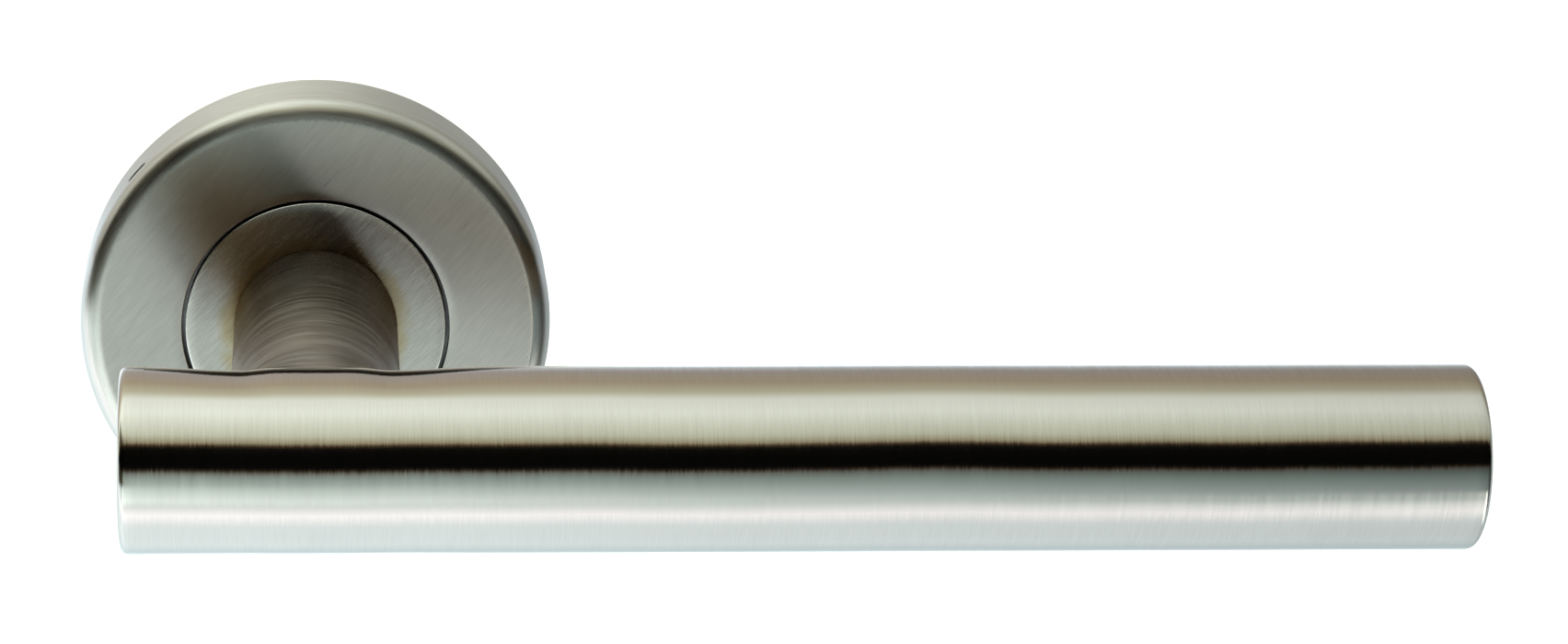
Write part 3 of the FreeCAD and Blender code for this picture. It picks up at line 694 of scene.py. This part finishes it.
def make_collar():
    """A flat disc round the neck, with an eased front edge."""
    chamfer = COLLAR_CHAMFER
    inner = COLLAR_BORE
    heel = (COLLAR_RADIUS - COLLAR_BACK_CHAMFER, COLLAR_BACK)
    rim = (COLLAR_RADIUS, COLLAR_BACK + COLLAR_BACK_CHAMFER)
    profile = [heel, rim]
    profile += between(rim, (COLLAR_RADIUS, ROSE_DEPTH - chamfer), 3)
    profile += arc(COLLAR_RADIUS - chamfer, ROSE_DEPTH - chamfer, chamfer, 0, 90, 5)
    profile += between((COLLAR_RADIUS - chamfer, ROSE_DEPTH), (inner, ROSE_DEPTH), 6)
    profile += [(inner, ROSE_DEPTH)]
    profile += between((inner, ROSE_DEPTH), (inner, COLLAR_BACK), 3)
    profile += [(inner, COLLAR_BACK)]
    profile += between((inner, COLLAR_BACK), heel, 4)
    angles = even_angles(ROUND_STEPS)
    rings = [turn_about_y(radius, depth, angles) for radius, depth in profile]

    # Its outer side takes the near-black steel: painted shade in the gap round the collar.
    def choose(center, normal):
        if -center.y > ROSE_DEPTH - chamfer - COLLAR_FRONT_MARGIN:
            return 1
        return 2 if math.hypot(center.x, center.z) > COLLAR_RADIUS - COLLAR_RIM_MARGIN else 0

    return make_piece("collar", [skin(rings, closed=True)], "lever", ["collar_disc"],
                      [collar_wall, collar_steel, painted_gap_shade], choose=choose)


# ---- Grip ----

DIP_DEPTH = 0.42
DIP_PLACE = 7.8
DIP_INNER_SPREAD = 2.8
DIP_OUTER_SPREAD = 6.5
DIP_MIDDLE = 0.12
DIP_MIDDLE_SPREAD = 6.0
DIP_WINDOW = (124, 74)
STATION_STEP = 2.5
STATION_FINE_STEP = 0.4
STATION_FINE_REACH = 20
BORE_STATIONS = 20


def smooth(value, low, high):
    """A smooth step from 0 at low to 1 at high."""
    f = min(1.0, max(0.0, (value - low) / (high - low)))
    return f * f * (3 - 2 * f)


def grip_radius(x, angle):
    """The grip's radius, ground away a little either side of the neck's weld."""
    spread = DIP_OUTER_SPREAD if abs(x) > DIP_PLACE else DIP_INNER_SPREAD
    side = math.exp(-(((abs(x) - DIP_PLACE) / spread) ** 2))
    middle = math.exp(-((x / DIP_MIDDLE_SPREAD) ** 2))
    turned = math.degrees(angle) % 360
    window = smooth(abs(turned - 180), *DIP_WINDOW)
    return GRIP_RADIUS - window * (DIP_DEPTH * side + DIP_MIDDLE * middle)


def grip_stations():
    """Places along the tube, close together at the weld."""
    stations = []
    x = tube_low.x
    while x < tube_high.x - 0.01:
        stations.append(x)
        x += STATION_FINE_STEP if abs(x) < STATION_FINE_REACH else STATION_STEP
    return stations + [tube_high.x]


def make_grip():
    """The tube, its outside ground by the weld and its bore plain."""
    angles = even_angles(ROUND_STEPS)
    rings = []
    for x in grip_stations():
        radii = [grip_radius(x, a) for a in angles]
        rings.append([(x, GRIP_Y - r * math.cos(a), r * math.sin(a)) for a, r in zip(angles, radii)])
    length = tube_high.x - tube_low.x
    for i in range(BORE_STATIONS + 1):
        rings.append(turn_about_grip(GRIP_BORE, tube_high.x - length * i / BORE_STATIONS, angles))
    return make_piece("grip", [skin(rings, closed=True)], "lever", ["grip_tube"], [grip_steel])


def make_cap(name, node, end, seam):
    """An end plug; its edge is eased and its spigot sits in the tube."""
    inward = 1 if seam > end else -1
    edge = CAP_EDGE_RADIUS
    spigot = GRIP_BORE - CAP_SPIGOT_GAP
    chamfer = CAP_SPIGOT_CHAMFER
    tip = seam + inward * CAP_SPIGOT
    profile = [(0, end)]
    profile += [(GRIP_RADIUS * f, end) for f in (0.2, 0.4, 0.6, 0.8)]
    for i in range(9):
        a = math.radians(90 - 90 * i / 8)
        profile.append((GRIP_RADIUS - edge + edge * math.cos(a), end + inward * (edge - edge * math.sin(a))))
    profile += [(GRIP_RADIUS, seam - inward * CAP_SEAM_ROW), (GRIP_RADIUS, seam), (spigot, seam)]
    profile += [(spigot, (seam + tip) / 2), (spigot, tip - inward * chamfer)]
    profile += [(spigot - chamfer, tip), (0, tip)]
    angles = even_angles(ROUND_STEPS)
    rings = [turn_about_grip(radius, x, angles) for radius, x in profile]

    def choose(center, normal):
        return 1 if abs(normal.x) > 0.9 else 0

    return make_piece(name, [skin(rings)], "lever", [node], [grip_steel, cap_steel],
                      choose=choose)


# ---- Neck ----

NECK_STEPS = 160
PATCH_REACH = 16
PATCH_RINGS = 6
WELD_RADIUS = 3.0
WELD_TOP_REACH = 6.5
WELD_RISE = 0.22
WELD_STEPS = 10
WELD_SINK = 0.01
CREVICE_SINK = 0.6
NECK_LOW_ROWS = (9.35, 10.2, 11.2, 12.2)
NECK_UPPER_ROWS = 14
NECK_INNER_ROWS = 6


def neck_rows():
    """Depths of the neck's rows up to just past the grub screw's hole."""
    step = NECK_RADIUS * math.tau / NECK_STEPS
    low = GRUB_DEPTH - PATCH_REACH * step
    high = GRUB_DEPTH + PATCH_REACH * step
    return [low + (high - low) * i / (2 * PATCH_REACH) for i in range(2 * PATCH_REACH + 1)]


def corner_on_grip(radius, angle, sink=0.0):
    """Where a line along the neck meets the back of the grip."""
    x = radius * math.cos(angle)
    z = radius * math.sin(angle)
    reach = GRIP_RADIUS
    for _ in range(4):
        behind = math.sqrt(max(0.0, reach * reach - z * z))
        turned = math.atan2(z, -behind)
        reach = grip_radius(x, turned) - sink
    behind = math.sqrt(max(0.0, reach * reach - z * z))
    return Vector((x, GRIP_Y + behind, z))


def on_grip(point, sink=0.0):
    """The point moved straight in or out to the grip's surface."""
    y = point.y - GRIP_Y
    turned = math.atan2(point.z, -y)
    reach = grip_radius(point.x, turned) - sink
    scale = reach / math.hypot(y, point.z)
    return Vector((point.x, GRIP_Y + y * scale, point.z * scale))


def weld_profile(angle):
    """Points from the neck's side, round the ground weld, on to the grip."""
    corner = corner_on_grip(NECK_RADIUS, angle)
    outward = Vector((math.cos(angle), 0, math.sin(angle)))
    normal = Vector((0, corner.y - GRIP_Y, corner.z)).normalized()
    away = (outward - normal * outward.dot(normal)).normalized()
    bend = math.acos(max(-1.0, min(1.0, outward.dot(normal))))
    top = abs(math.sin(angle)) ** 4
    side = WELD_RADIUS * math.tan(bend / 2) * (1 - top)
    start = corner + Vector((0, side + WELD_TOP_REACH * top, 0))
    crown = GRIP_RADIUS * math.acos(min(1.0, abs(corner.z) / GRIP_RADIUS))
    end = on_grip(corner + away * (side + crown * top), WELD_SINK)
    corner = corner + normal * (WELD_RISE * top)
    points = []
    for i in range(WELD_STEPS + 1):
        f = i / WELD_STEPS
        points.append(start * (1 - f) ** 2 + corner * (2 * f * (1 - f)) + end * f ** 2)
    points.append(on_grip(end, CREVICE_SINK))
    return points


def hole_patch(radius, rows):
    """Rings from a square of the neck's grid in to the grub screw's hole."""
    bottom = 3 * NECK_STEPS // 4
    reach = PATCH_REACH
    columns = [math.tau * (bottom - reach + i) / NECK_STEPS for i in range(2 * reach + 1)]
    loop = []
    for i in range(2 * reach):
        loop.append((columns[i], rows[0]))
    for i in range(2 * reach):
        loop.append((columns[-1], rows[i]))
    for i in range(2 * reach):
        loop.append((columns[-1 - i], rows[-1]))
    for i in range(2 * reach):
        loop.append((columns[0], rows[-1 - i]))
    rings = []
    for k in range(PATCH_RINGS + 1):
        f = k / PATCH_RINGS
        ring = []
        for i, (angle, depth) in enumerate(loop):
            x = radius * math.cos(angle)
            a = math.tau * (i / len(loop)) - math.pi * 3 / 4
            circle_x = GRUB_HOLE_RADIUS * math.cos(a)
            circle_depth = GRUB_DEPTH + GRUB_HOLE_RADIUS * math.sin(a)
            px = x + (circle_x - x) * f
            pd = depth + (circle_depth - depth) * f
            ring.append((px, -pd, -math.sqrt(radius * radius - px * px)))
        rings.append(ring)
    return rings


def grid_without_patch(rings, row_start):
    """Faces between rings along the neck, leaving out the hole's square."""
    verts, faces = skin(rings)
    count = NECK_STEPS
    bottom = 3 * count // 4
    kept = []
    for index, face in enumerate(faces):
        row = index // count
        column = index % count
        in_rows = row_start <= row < row_start + 2 * PATCH_REACH
        in_columns = bottom - PATCH_REACH <= column < bottom + PATCH_REACH
        if not (in_rows and in_columns):
            kept.append(face)
    return verts, kept


def make_neck():
    """The tube from the collar to the grip, with its weld and the grub screw's hole."""
    angles = even_angles(NECK_STEPS)
    rows = neck_rows()
    foot = ROSE_DEPTH
    ease = NECK_FOOT_ROUNDING
    outer = [turn_about_y(NECK_RADIUS - ease, foot, angles)]
    for radius, depth in arc(NECK_RADIUS - ease, foot + ease, ease, -60, 0, 3):
        outer.append(turn_about_y(radius, depth, angles))
    for depth in NECK_LOW_ROWS:
        outer.append(turn_about_y(NECK_RADIUS, depth, angles))
    row_start = len(outer)
    for depth in rows:
        outer.append(turn_about_y(NECK_RADIUS, depth, angles))
    welds = [weld_profile(a) for a in angles]
    last = rows[-1]
    for i in range(1, NECK_UPPER_ROWS):
        f = i / NECK_UPPER_ROWS
        ring = []
        for a, weld in zip(angles, welds):
            depth = last + (-weld[0].y - last) * f
            ring.append((NECK_RADIUS * math.cos(a), -depth, NECK_RADIUS * math.sin(a)))
        outer.append(ring)
    for i in range(len(welds[0])):
        outer.append([tuple(weld[i]) for weld in welds])
    inner_top = [corner_on_grip(NECK_BORE, a, CREVICE_SINK) for a in angles]
    inner = []
    for i in range(NECK_INNER_ROWS):
        f = i / NECK_INNER_ROWS
        inner.append([(p.x, p.y + (-last - p.y) * f, p.z) for p in inner_top])
    inner_start = len(inner)
    for depth in reversed(rows):
        inner.append(turn_about_y(NECK_BORE, depth, angles))
    inner.append(turn_about_y(NECK_BORE, NECK_BORE_ROW, angles))
    inner.append(turn_about_y(NECK_BORE, foot, angles))
    parts = [grid_without_patch(outer, row_start), grid_without_patch(inner, inner_start)]
    parts.append(skin([outer[-1], inner[0]]))
    parts.append(skin([inner[-1], outer[0]]))
    outer_patch = hole_patch(NECK_RADIUS, rows)
    inner_patch = hole_patch(NECK_BORE, rows)
    parts.append(skin(outer_patch))
    parts.append(skin(inner_patch))
    parts.append(skin([outer_patch[-1], inner_patch[-1]]))

    # The rounded foot takes the near-black steel: a painted line of shade where the neck meets the collar.
    def choose(center, normal):
        return 1 if -center.y < foot + NECK_FOOT_SHADE_BAND else 0

    return make_piece("neck_tube", parts, "lever", ["neck"], [neck_steel, painted_gap_shade],
                      weld=0.004, choose=choose)


# ---- Screws ----

SCREW_STEPS = 36
RECESS_DEPTH = 0.55
RECESS_REACH = 0.55
RECESS_HALF_WIDTH = 0.14
RECESS_MARGIN = 0.02
HEAD_RINGS = (0.1, 0.2, 0.3, 0.4, 0.5, 0.56, 0.62, 0.7)
HEAD_EASE = 0.45
THREAD_SLOPE = 1.6
THREAD_ROOT = 0.3
TIP_SHARE = 0.04

BOLT_CIRCLE_RADIUS = 19.0
BOLT_HEAD_RADIUS = 3.75
BOLT_HEAD_HEIGHT = 2.4
BOLT_SHANK_RADIUS = 1.8
BOLT_ROOT_RADIUS = 1.62
BOLT_RADIUS = 2.0
BOLT_PITCH = 0.7
BOLT_SHANK_END = 7.6
BOLT_THREAD_START = 7.7
BOLT_END_CHAMFER = 0.35
BOLT_END_RADIUS = 1.3

WOOD_SCREW_CIRCLE_RADIUS = 20.0
WOOD_SCREW_HEAD_RADIUS = 3.4
WOOD_SCREW_HEAD_HEIGHT = 2.2
WOOD_SCREW_SHANK_RADIUS = 1.3
WOOD_SCREW_ROOT_RADIUS = 1.15
WOOD_SCREW_RADIUS = 1.75
WOOD_SCREW_PITCH = 1.6
WOOD_SCREW_SHANK_END = 0.5
WOOD_SCREW_THREAD_START = 0.6
WOOD_SCREW_TIP = 4.0


def threaded(x, z, start, end, root, crest, pitch, tip=0.0, steps=8):
    """Rings of a helical thread along Y, fading in at the start and tapering at the tip."""
    rings = []
    count = int((end - start) / pitch * steps)
    for i in range(count + 1):
        y = start + (end - start) * i / count
        fade = smooth(y - start, 0, pitch) * smooth(end - y, 0, pitch)
        narrow = min(1.0, (end - y) / tip) if tip else 1.0
        ring = []
        for j, a in enumerate(even_angles(SCREW_STEPS)):
            phase = ((y - start) / pitch - j / SCREW_STEPS) % 1.0
            height = min(1.0, max(0.0, THREAD_SLOPE * (1 - abs(2 * phase - 1)) - THREAD_ROOT))
            r = (root + (crest - root) * height * fade) * max(narrow, TIP_SHARE)
            ring.append((x + r * math.cos(a), y, z + r * math.sin(a)))
        rings.append(ring)
    return rings


def screw_head(x, z, seat, front, radius, shank):
    """Rings of a pan head with a cross recess, from its middle to the shank."""
    recess = (front - seat) * RECESS_DEPTH
    arm = radius * RECESS_REACH
    half = radius * RECESS_HALF_WIDTH
    rings = [[(x, -(front - recess), z)]]
    angles = even_angles(SCREW_STEPS)
    for f in HEAD_RINGS:
        ring = []
        for a in angles:
            r = radius * f
            across = min(abs(r * math.cos(a)), abs(r * math.sin(a)))
            in_cross = across < half + RECESS_MARGIN and r <= arm
            ring.append((x + r * math.cos(a), -(front - (recess if in_cross else 0)), z + r * math.sin(a)))
        rings.append(ring)
    ease = (front - seat) * HEAD_EASE
    for r, d in arc(radius - ease, front - ease, ease, 90, 0, 6):
        rings.append(turn_about_y(r, d, angles, x, z))
    rings.append(turn_about_y(radius, seat, angles, x, z))
    rings.append(turn_about_y(shank, seat, angles, x, z))
    return rings


def make_bolts():
    """The two machine screws that go through the door."""
    angles = even_angles(SCREW_STEPS)
    front = -bolt_low.y
    parts = []
    for side in (-1, 1):
        x = side * BOLT_CIRCLE_RADIUS
        rings = screw_head(x, 0.0, front - BOLT_HEAD_HEIGHT, front, BOLT_HEAD_RADIUS, BOLT_SHANK_RADIUS)
        rings.append(turn_about_y(BOLT_SHANK_RADIUS, -BOLT_SHANK_END, angles, x, 0.0))
        rings += threaded(x, 0.0, BOLT_THREAD_START, bolt_high.y - BOLT_END_CHAMFER,
                          BOLT_ROOT_RADIUS, BOLT_RADIUS, BOLT_PITCH)
        rings.append(turn_about_y(BOLT_END_RADIUS, -bolt_high.y, angles, x, 0.0))
        rings.append([(x, bolt_high.y, 0.0)])
        parts.append(skin(rings))
    return make_piece("door_bolts", parts, "rose", ["through_bolts"], [bolt_steel], crease=50)


def make_wood_screws():
    """The two screws above and below the spindle."""
    shank = WOOD_SCREW_SHANK_RADIUS
    front = -screw_low.y
    seat = front - WOOD_SCREW_HEAD_HEIGHT
    parts = []
    for side in (-1, 1):
        z = side * WOOD_SCREW_CIRCLE_RADIUS
        rings = screw_head(0.0, z, seat, front, WOOD_SCREW_HEAD_RADIUS, shank)
        rings.append(turn_about_y(shank, -WOOD_SCREW_SHANK_END, even_angles(SCREW_STEPS), 0.0, z))
        rings += threaded(0.0, z, WOOD_SCREW_THREAD_START, screw_high.y, WOOD_SCREW_ROOT_RADIUS,
                          WOOD_SCREW_RADIUS, WOOD_SCREW_PITCH, tip=WOOD_SCREW_TIP, steps=12)
        rings.append([(0.0, screw_high.y, z)])
        parts.append(skin(rings))
    return make_piece("door_screws", parts, "rose", ["wood_screws"], [plated_steel],
                      crease=50)


make_cover()
make_collar()
make_grip()
make_cap("cap_near", "end_cap_near", near_low.x, tube_low.x)
make_cap("cap_far", "end_cap_far", far_high.x, tube_high.x)
make_neck()
make_bolts()
make_wood_screws()

# The CAD nodes that stay take their slot's finish.
kept_slots = {
    "support_lugs": "turned_steel",
    "stop_pins": "turned_steel",
    "spindle_socket": "turned_steel",
    "backing_plate": "plated_steel",
    "backing_screws": "plated_steel",
    "spring_driver": "plated_steel",
    "spindle": "plated_steel",
    "cover_clips": "spring_steel",
    "return_spring": "spring_steel",
    "spring_washer": "spring_steel",
    "circlip": "spring_steel",
    "grub_screw": "black_steel",
    "mounting_base": "zinc_casting",
    "neck_bush": "acetal",
}
for node, slot in kept_slots.items():
    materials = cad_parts[node].data.materials
    materials.clear()
    materials.append(slot_materials[slot])


# ---- Studio ----

# What the steel reflects: paper, soft boxes and dark gaps round the object. Each is one or more
# places, as (elevation in degrees, light given off). Straight out from the door is 0, up is 90,
# down is -90 and behind the door is 180. The light changes evenly from place to place.
PAPER_BEHIND = [(-168, (0.70, 0.79, 0.84))]
PAPER_BELOW = [(-134, (0.47, 0.57, 0.61))]
PAPER_AHEAD = [(-108, (0.66, 0.77, 0.82)), (-69, (0.69, 0.79, 0.84))]
LOWER_BOX = [(-52, (0.96, 0.98, 1.05))]
FRONT_CARD = [(-36, (0.56, 0.65, 0.67)), (-4, (0.22, 0.29, 0.28))]
FRONT_CARD_RIM = [(3, (0.14, 0.16, 0.15)), (7, (0.035, 0.02, 0.01))]
DARK_GAP = [(9, (0.002, 0.002, 0.002)), (35, (0.002, 0.002, 0.002))]
UPPER_BOX_RIM = [(38, (0.045, 0.025, 0.01)), (41, (0.31, 0.28, 0.19))]
UPPER_BOX = [(50, (0.50, 0.54, 0.44)), (80, (0.73, 0.80, 0.75)), (100, (0.67, 0.73, 0.68))]
WARM_WALL = [(112, (0.43, 0.43, 0.33)), (130, (0.32, 0.28, 0.21))]
PAPER_ABOVE = [(158, (0.28, 0.26, 0.25)), (180, (0.44, 0.50, 0.53))]
STUDIO_STRENGTH = 1.6

# The cards and flags at the sides, and how they change the light behind them. A place has edges
# in a direction's x and z, and the change grows smoothly from an edge's first value to its second.
SIDE_CARD_PLACE = {"x": [(0.34, 0.46), (0.66, 0.54)], "z": [(-0.36, -0.46), (-0.92, -0.75)]}
SIDE_CARD = (1.45, 1.54, 1.42)
LEFT_GLOW_PLACE = {"x": [(0.12, -0.22), (-0.50, -0.36)], "z": [(-0.66, -0.50), (0.12, 0.02)]}
LEFT_GLOW = (1.92, 1.89, 1.84)
RIGHT_DIM_PLACE = {"x": [(0.04, 0.32)], "z": [(-0.66, -0.50), (0.12, 0.02)]}
RIGHT_DIM = (0.52, 0.55, 0.56)
LEFT_FLAG_PLACE = {"x": [(-0.10, -0.24)], "z": [(-0.30, -0.16), (0.80, 0.62)]}
LEFT_FLAG = (0.10, 0.08, 0.05)
RIGHT_FLAG_PLACE = {"x": [(0.66, 0.78)], "z": [(0.5, 0.3)]}
RIGHT_FLAG = (0.15, 0.12, 0.10)
AHEAD = (0.0, 0.2)

# The light falls off from the left to the right.
FALL_ACROSS = (-0.20, 0.40)
FALL_LIGHT = (1.26, 0.62)

# Light that has met the steel more than once comes from between the rose and the grip, so it is
# weaker and warmer, and the neck hides more of the studio from it.
LATER_BOUNCE = 2.5
CREVICE_TINT = (0.23, 0.16, 0.10)
CREVICE_PLACES = ({"x": [(0.06, 0.20)], "z": [(-0.34, -0.20)]}, {"x": [(-0.10, -0.26)], "z": [(-0.06, 0.08)]})

FLOOR_HALF = 6.0
FLOOR_Z = -0.12
FLOOR_WHITE = (0.93, 0.93, 0.93)
FLOOR_GRAIN = 1.5
FLOOR_SHADE = 0.015
LAMP_PLACE = (0.1, 0.5, 1.5)
LAMP_SIZE = 1.6
LAMP_POWER = 22.0
LAMP_COLOR = (1.0, 0.995, 0.98)

# The camera's place in millimetres, its turns in radians, and its lens.
CAMERA_PLACE = (0.19, -462.26, 150.06)
CAMERA_YAW = -0.0572
CAMERA_PITCH = -0.3179
CAMERA_ROLL = -0.0167
CAMERA_SENSOR = 36.0
CAMERA_LENS = 99.019
CAMERA_SHIFT = 0.1479
CAMERA_NEAR = 0.01


def studio_light(g, up, ahead):
    """The light from each elevation, as a ramp round the grip's axis."""
    turn = g.remap(g.math("ARCTAN2", up, ahead), -math.pi, math.pi)
    ramp = g.new("ShaderNodeValToRGB")
    elements = ramp.color_ramp.elements
    elements.remove(elements[0])
    stops = PAPER_BEHIND + PAPER_BELOW + PAPER_AHEAD + LOWER_BOX + FRONT_CARD + FRONT_CARD_RIM
    stops += DARK_GAP + UPPER_BOX_RIM + UPPER_BOX + WARM_WALL + PAPER_ABOVE
    for i, (elevation, light) in enumerate(stops):
        place = (elevation + 180) / 360
        element = elements[0] if i == 0 else elements.new(place)
        element.position = place
        element.color = (*light, 1.0)
    g.put(ramp.inputs[0], turn)
    return ramp.outputs[0]


def painted(g, base, share, color, mode):
    """The light with a colour multiplied in or added, as far as share goes."""
    node = g.new("ShaderNodeMix")
    node.data_type = "RGBA"
    node.blend_type = mode
    g.put(node.inputs[0], share)
    g.put(node.inputs[6], base)
    node.inputs[7].default_value = (*color, 1.0)
    return node.outputs[2]


def make_world():
    world = bpy.data.worlds.new("studio")
    bpy.context.scene.world = world
    world.use_nodes = True
    g = Nodes(world.node_tree)
    across, back, up = g.split(g.new("ShaderNodeTexCoord").outputs["Generated"])
    ahead = g.math("MULTIPLY", back, -1.0)
    in_front = g.ease(ahead, *AHEAD)

    def standing(place):
        edges = [g.ease(across, *edge) for edge in place["x"]]
        edges += [g.ease(up, *edge) for edge in place["z"]]
        return g.product(*edges, in_front)

    fall = g.remap(across, *FALL_ACROSS, *FALL_LIGHT)
    base = g.vector("SCALE", studio_light(g, up, ahead), scale=fall)
    base = painted(g, base, standing(LEFT_GLOW_PLACE), LEFT_GLOW, "MULTIPLY")
    base = painted(g, base, standing(RIGHT_DIM_PLACE), RIGHT_DIM, "MULTIPLY")
    first = painted(g, base, standing(SIDE_CARD_PLACE), SIDE_CARD, "ADD")
    first = painted(g, first, standing(LEFT_FLAG_PLACE), LEFT_FLAG, "MULTIPLY")
    first = painted(g, first, standing(RIGHT_FLAG_PLACE), RIGHT_FLAG, "MULTIPLY")
    deep = base
    for place in CREVICE_PLACES:
        deep = painted(g, deep, standing(place), RIGHT_FLAG, "MULTIPLY")
    deep = painted(g, deep, 1.0, CREVICE_TINT, "MULTIPLY")
    path = g.new("ShaderNodeLightPath")
    shaded = g.new("ShaderNodeMix")
    shaded.data_type = "RGBA"
    g.put(shaded.inputs[0], g.math("GREATER_THAN", path.outputs["Ray Depth"], LATER_BOUNCE))
    g.put(shaded.inputs[6], first)
    g.put(shaded.inputs[7], deep)
    studio = g.new("ShaderNodeBackground")
    g.put(studio.inputs[0], shaded.outputs[2])
    studio.inputs["Strength"].default_value = STUDIO_STRENGTH
    plain = g.new("ShaderNodeBackground")
    plain.inputs[0].default_value = (1.0, 1.0, 1.0, 1.0)
    seen = g.new("ShaderNodeMixShader")
    g.put(seen.inputs[0], path.outputs["Is Camera Ray"])
    g.put(seen.inputs[1], studio.outputs[0])
    g.put(seen.inputs[2], plain.outputs[0])
    g.put(g.new("ShaderNodeOutputWorld").inputs[0], seen.outputs[0])


def make_floor():
    mesh = bpy.data.meshes.new("floor")
    corners = [(-1, -1), (1, -1), (1, 1), (-1, 1)]
    mesh.from_pydata([(x * FLOOR_HALF, y * FLOOR_HALF, FLOOR_Z) for x, y in corners], [], [(0, 1, 2, 3)])
    floor = bpy.data.objects.new("floor", mesh)
    bpy.context.scene.collection.objects.link(floor)
    g = Graph("floor_paper")
    grain = g.noise(g.stretched((FLOOR_GRAIN, FLOOR_GRAIN, FLOOR_GRAIN)), detail=3.0)
    level = g.spread(grain, 1 - FLOOR_SHADE, 1 + FLOOR_SHADE)
    g.put(g.shader.inputs["Base Color"], g.tint(FLOOR_WHITE, level))
    g.shader.inputs["Roughness"].default_value = 0.9
    g.shader.inputs["Specular IOR Level"].default_value = 0.1
    mesh.materials.append(g.material)
    floor.visible_glossy = False


def make_light():
    light = bpy.data.lights.new("overhead", "AREA")
    light.shape = "DISK"
    light.size = LAMP_SIZE
    light.energy = LAMP_POWER
    light.color = LAMP_COLOR
    lamp = bpy.data.objects.new("overhead", light)
    lamp.location = LAMP_PLACE
    bpy.context.scene.collection.objects.link(lamp)
    lamp.visible_glossy = False


def make_camera():
    data = bpy.data.cameras.new("camera")
    data.sensor_fit = "HORIZONTAL"
    data.sensor_width = CAMERA_SENSOR
    data.lens = CAMERA_LENS
    data.shift_x = CAMERA_SHIFT
    data.clip_start = CAMERA_NEAR
    camera = bpy.data.objects.new("camera", data)
    turn = Matrix.Rotation(CAMERA_YAW, 3, "Z") @ Matrix.Rotation(CAMERA_PITCH, 3, "X")
    turn = turn @ Matrix.Rotation(CAMERA_ROLL, 3, "Y")
    right, ahead, up = turn.col
    matrix = Matrix((right, up, -ahead)).transposed().to_4x4()
    matrix.translation = Vector(CAMERA_PLACE) * MM
    camera.matrix_world = matrix
    bpy.context.scene.collection.objects.link(camera)
    bpy.context.scene.camera = camera


make_world()
make_floor()
make_light()
make_camera()
bpy.context.scene.view_settings.view_transform = "Standard"
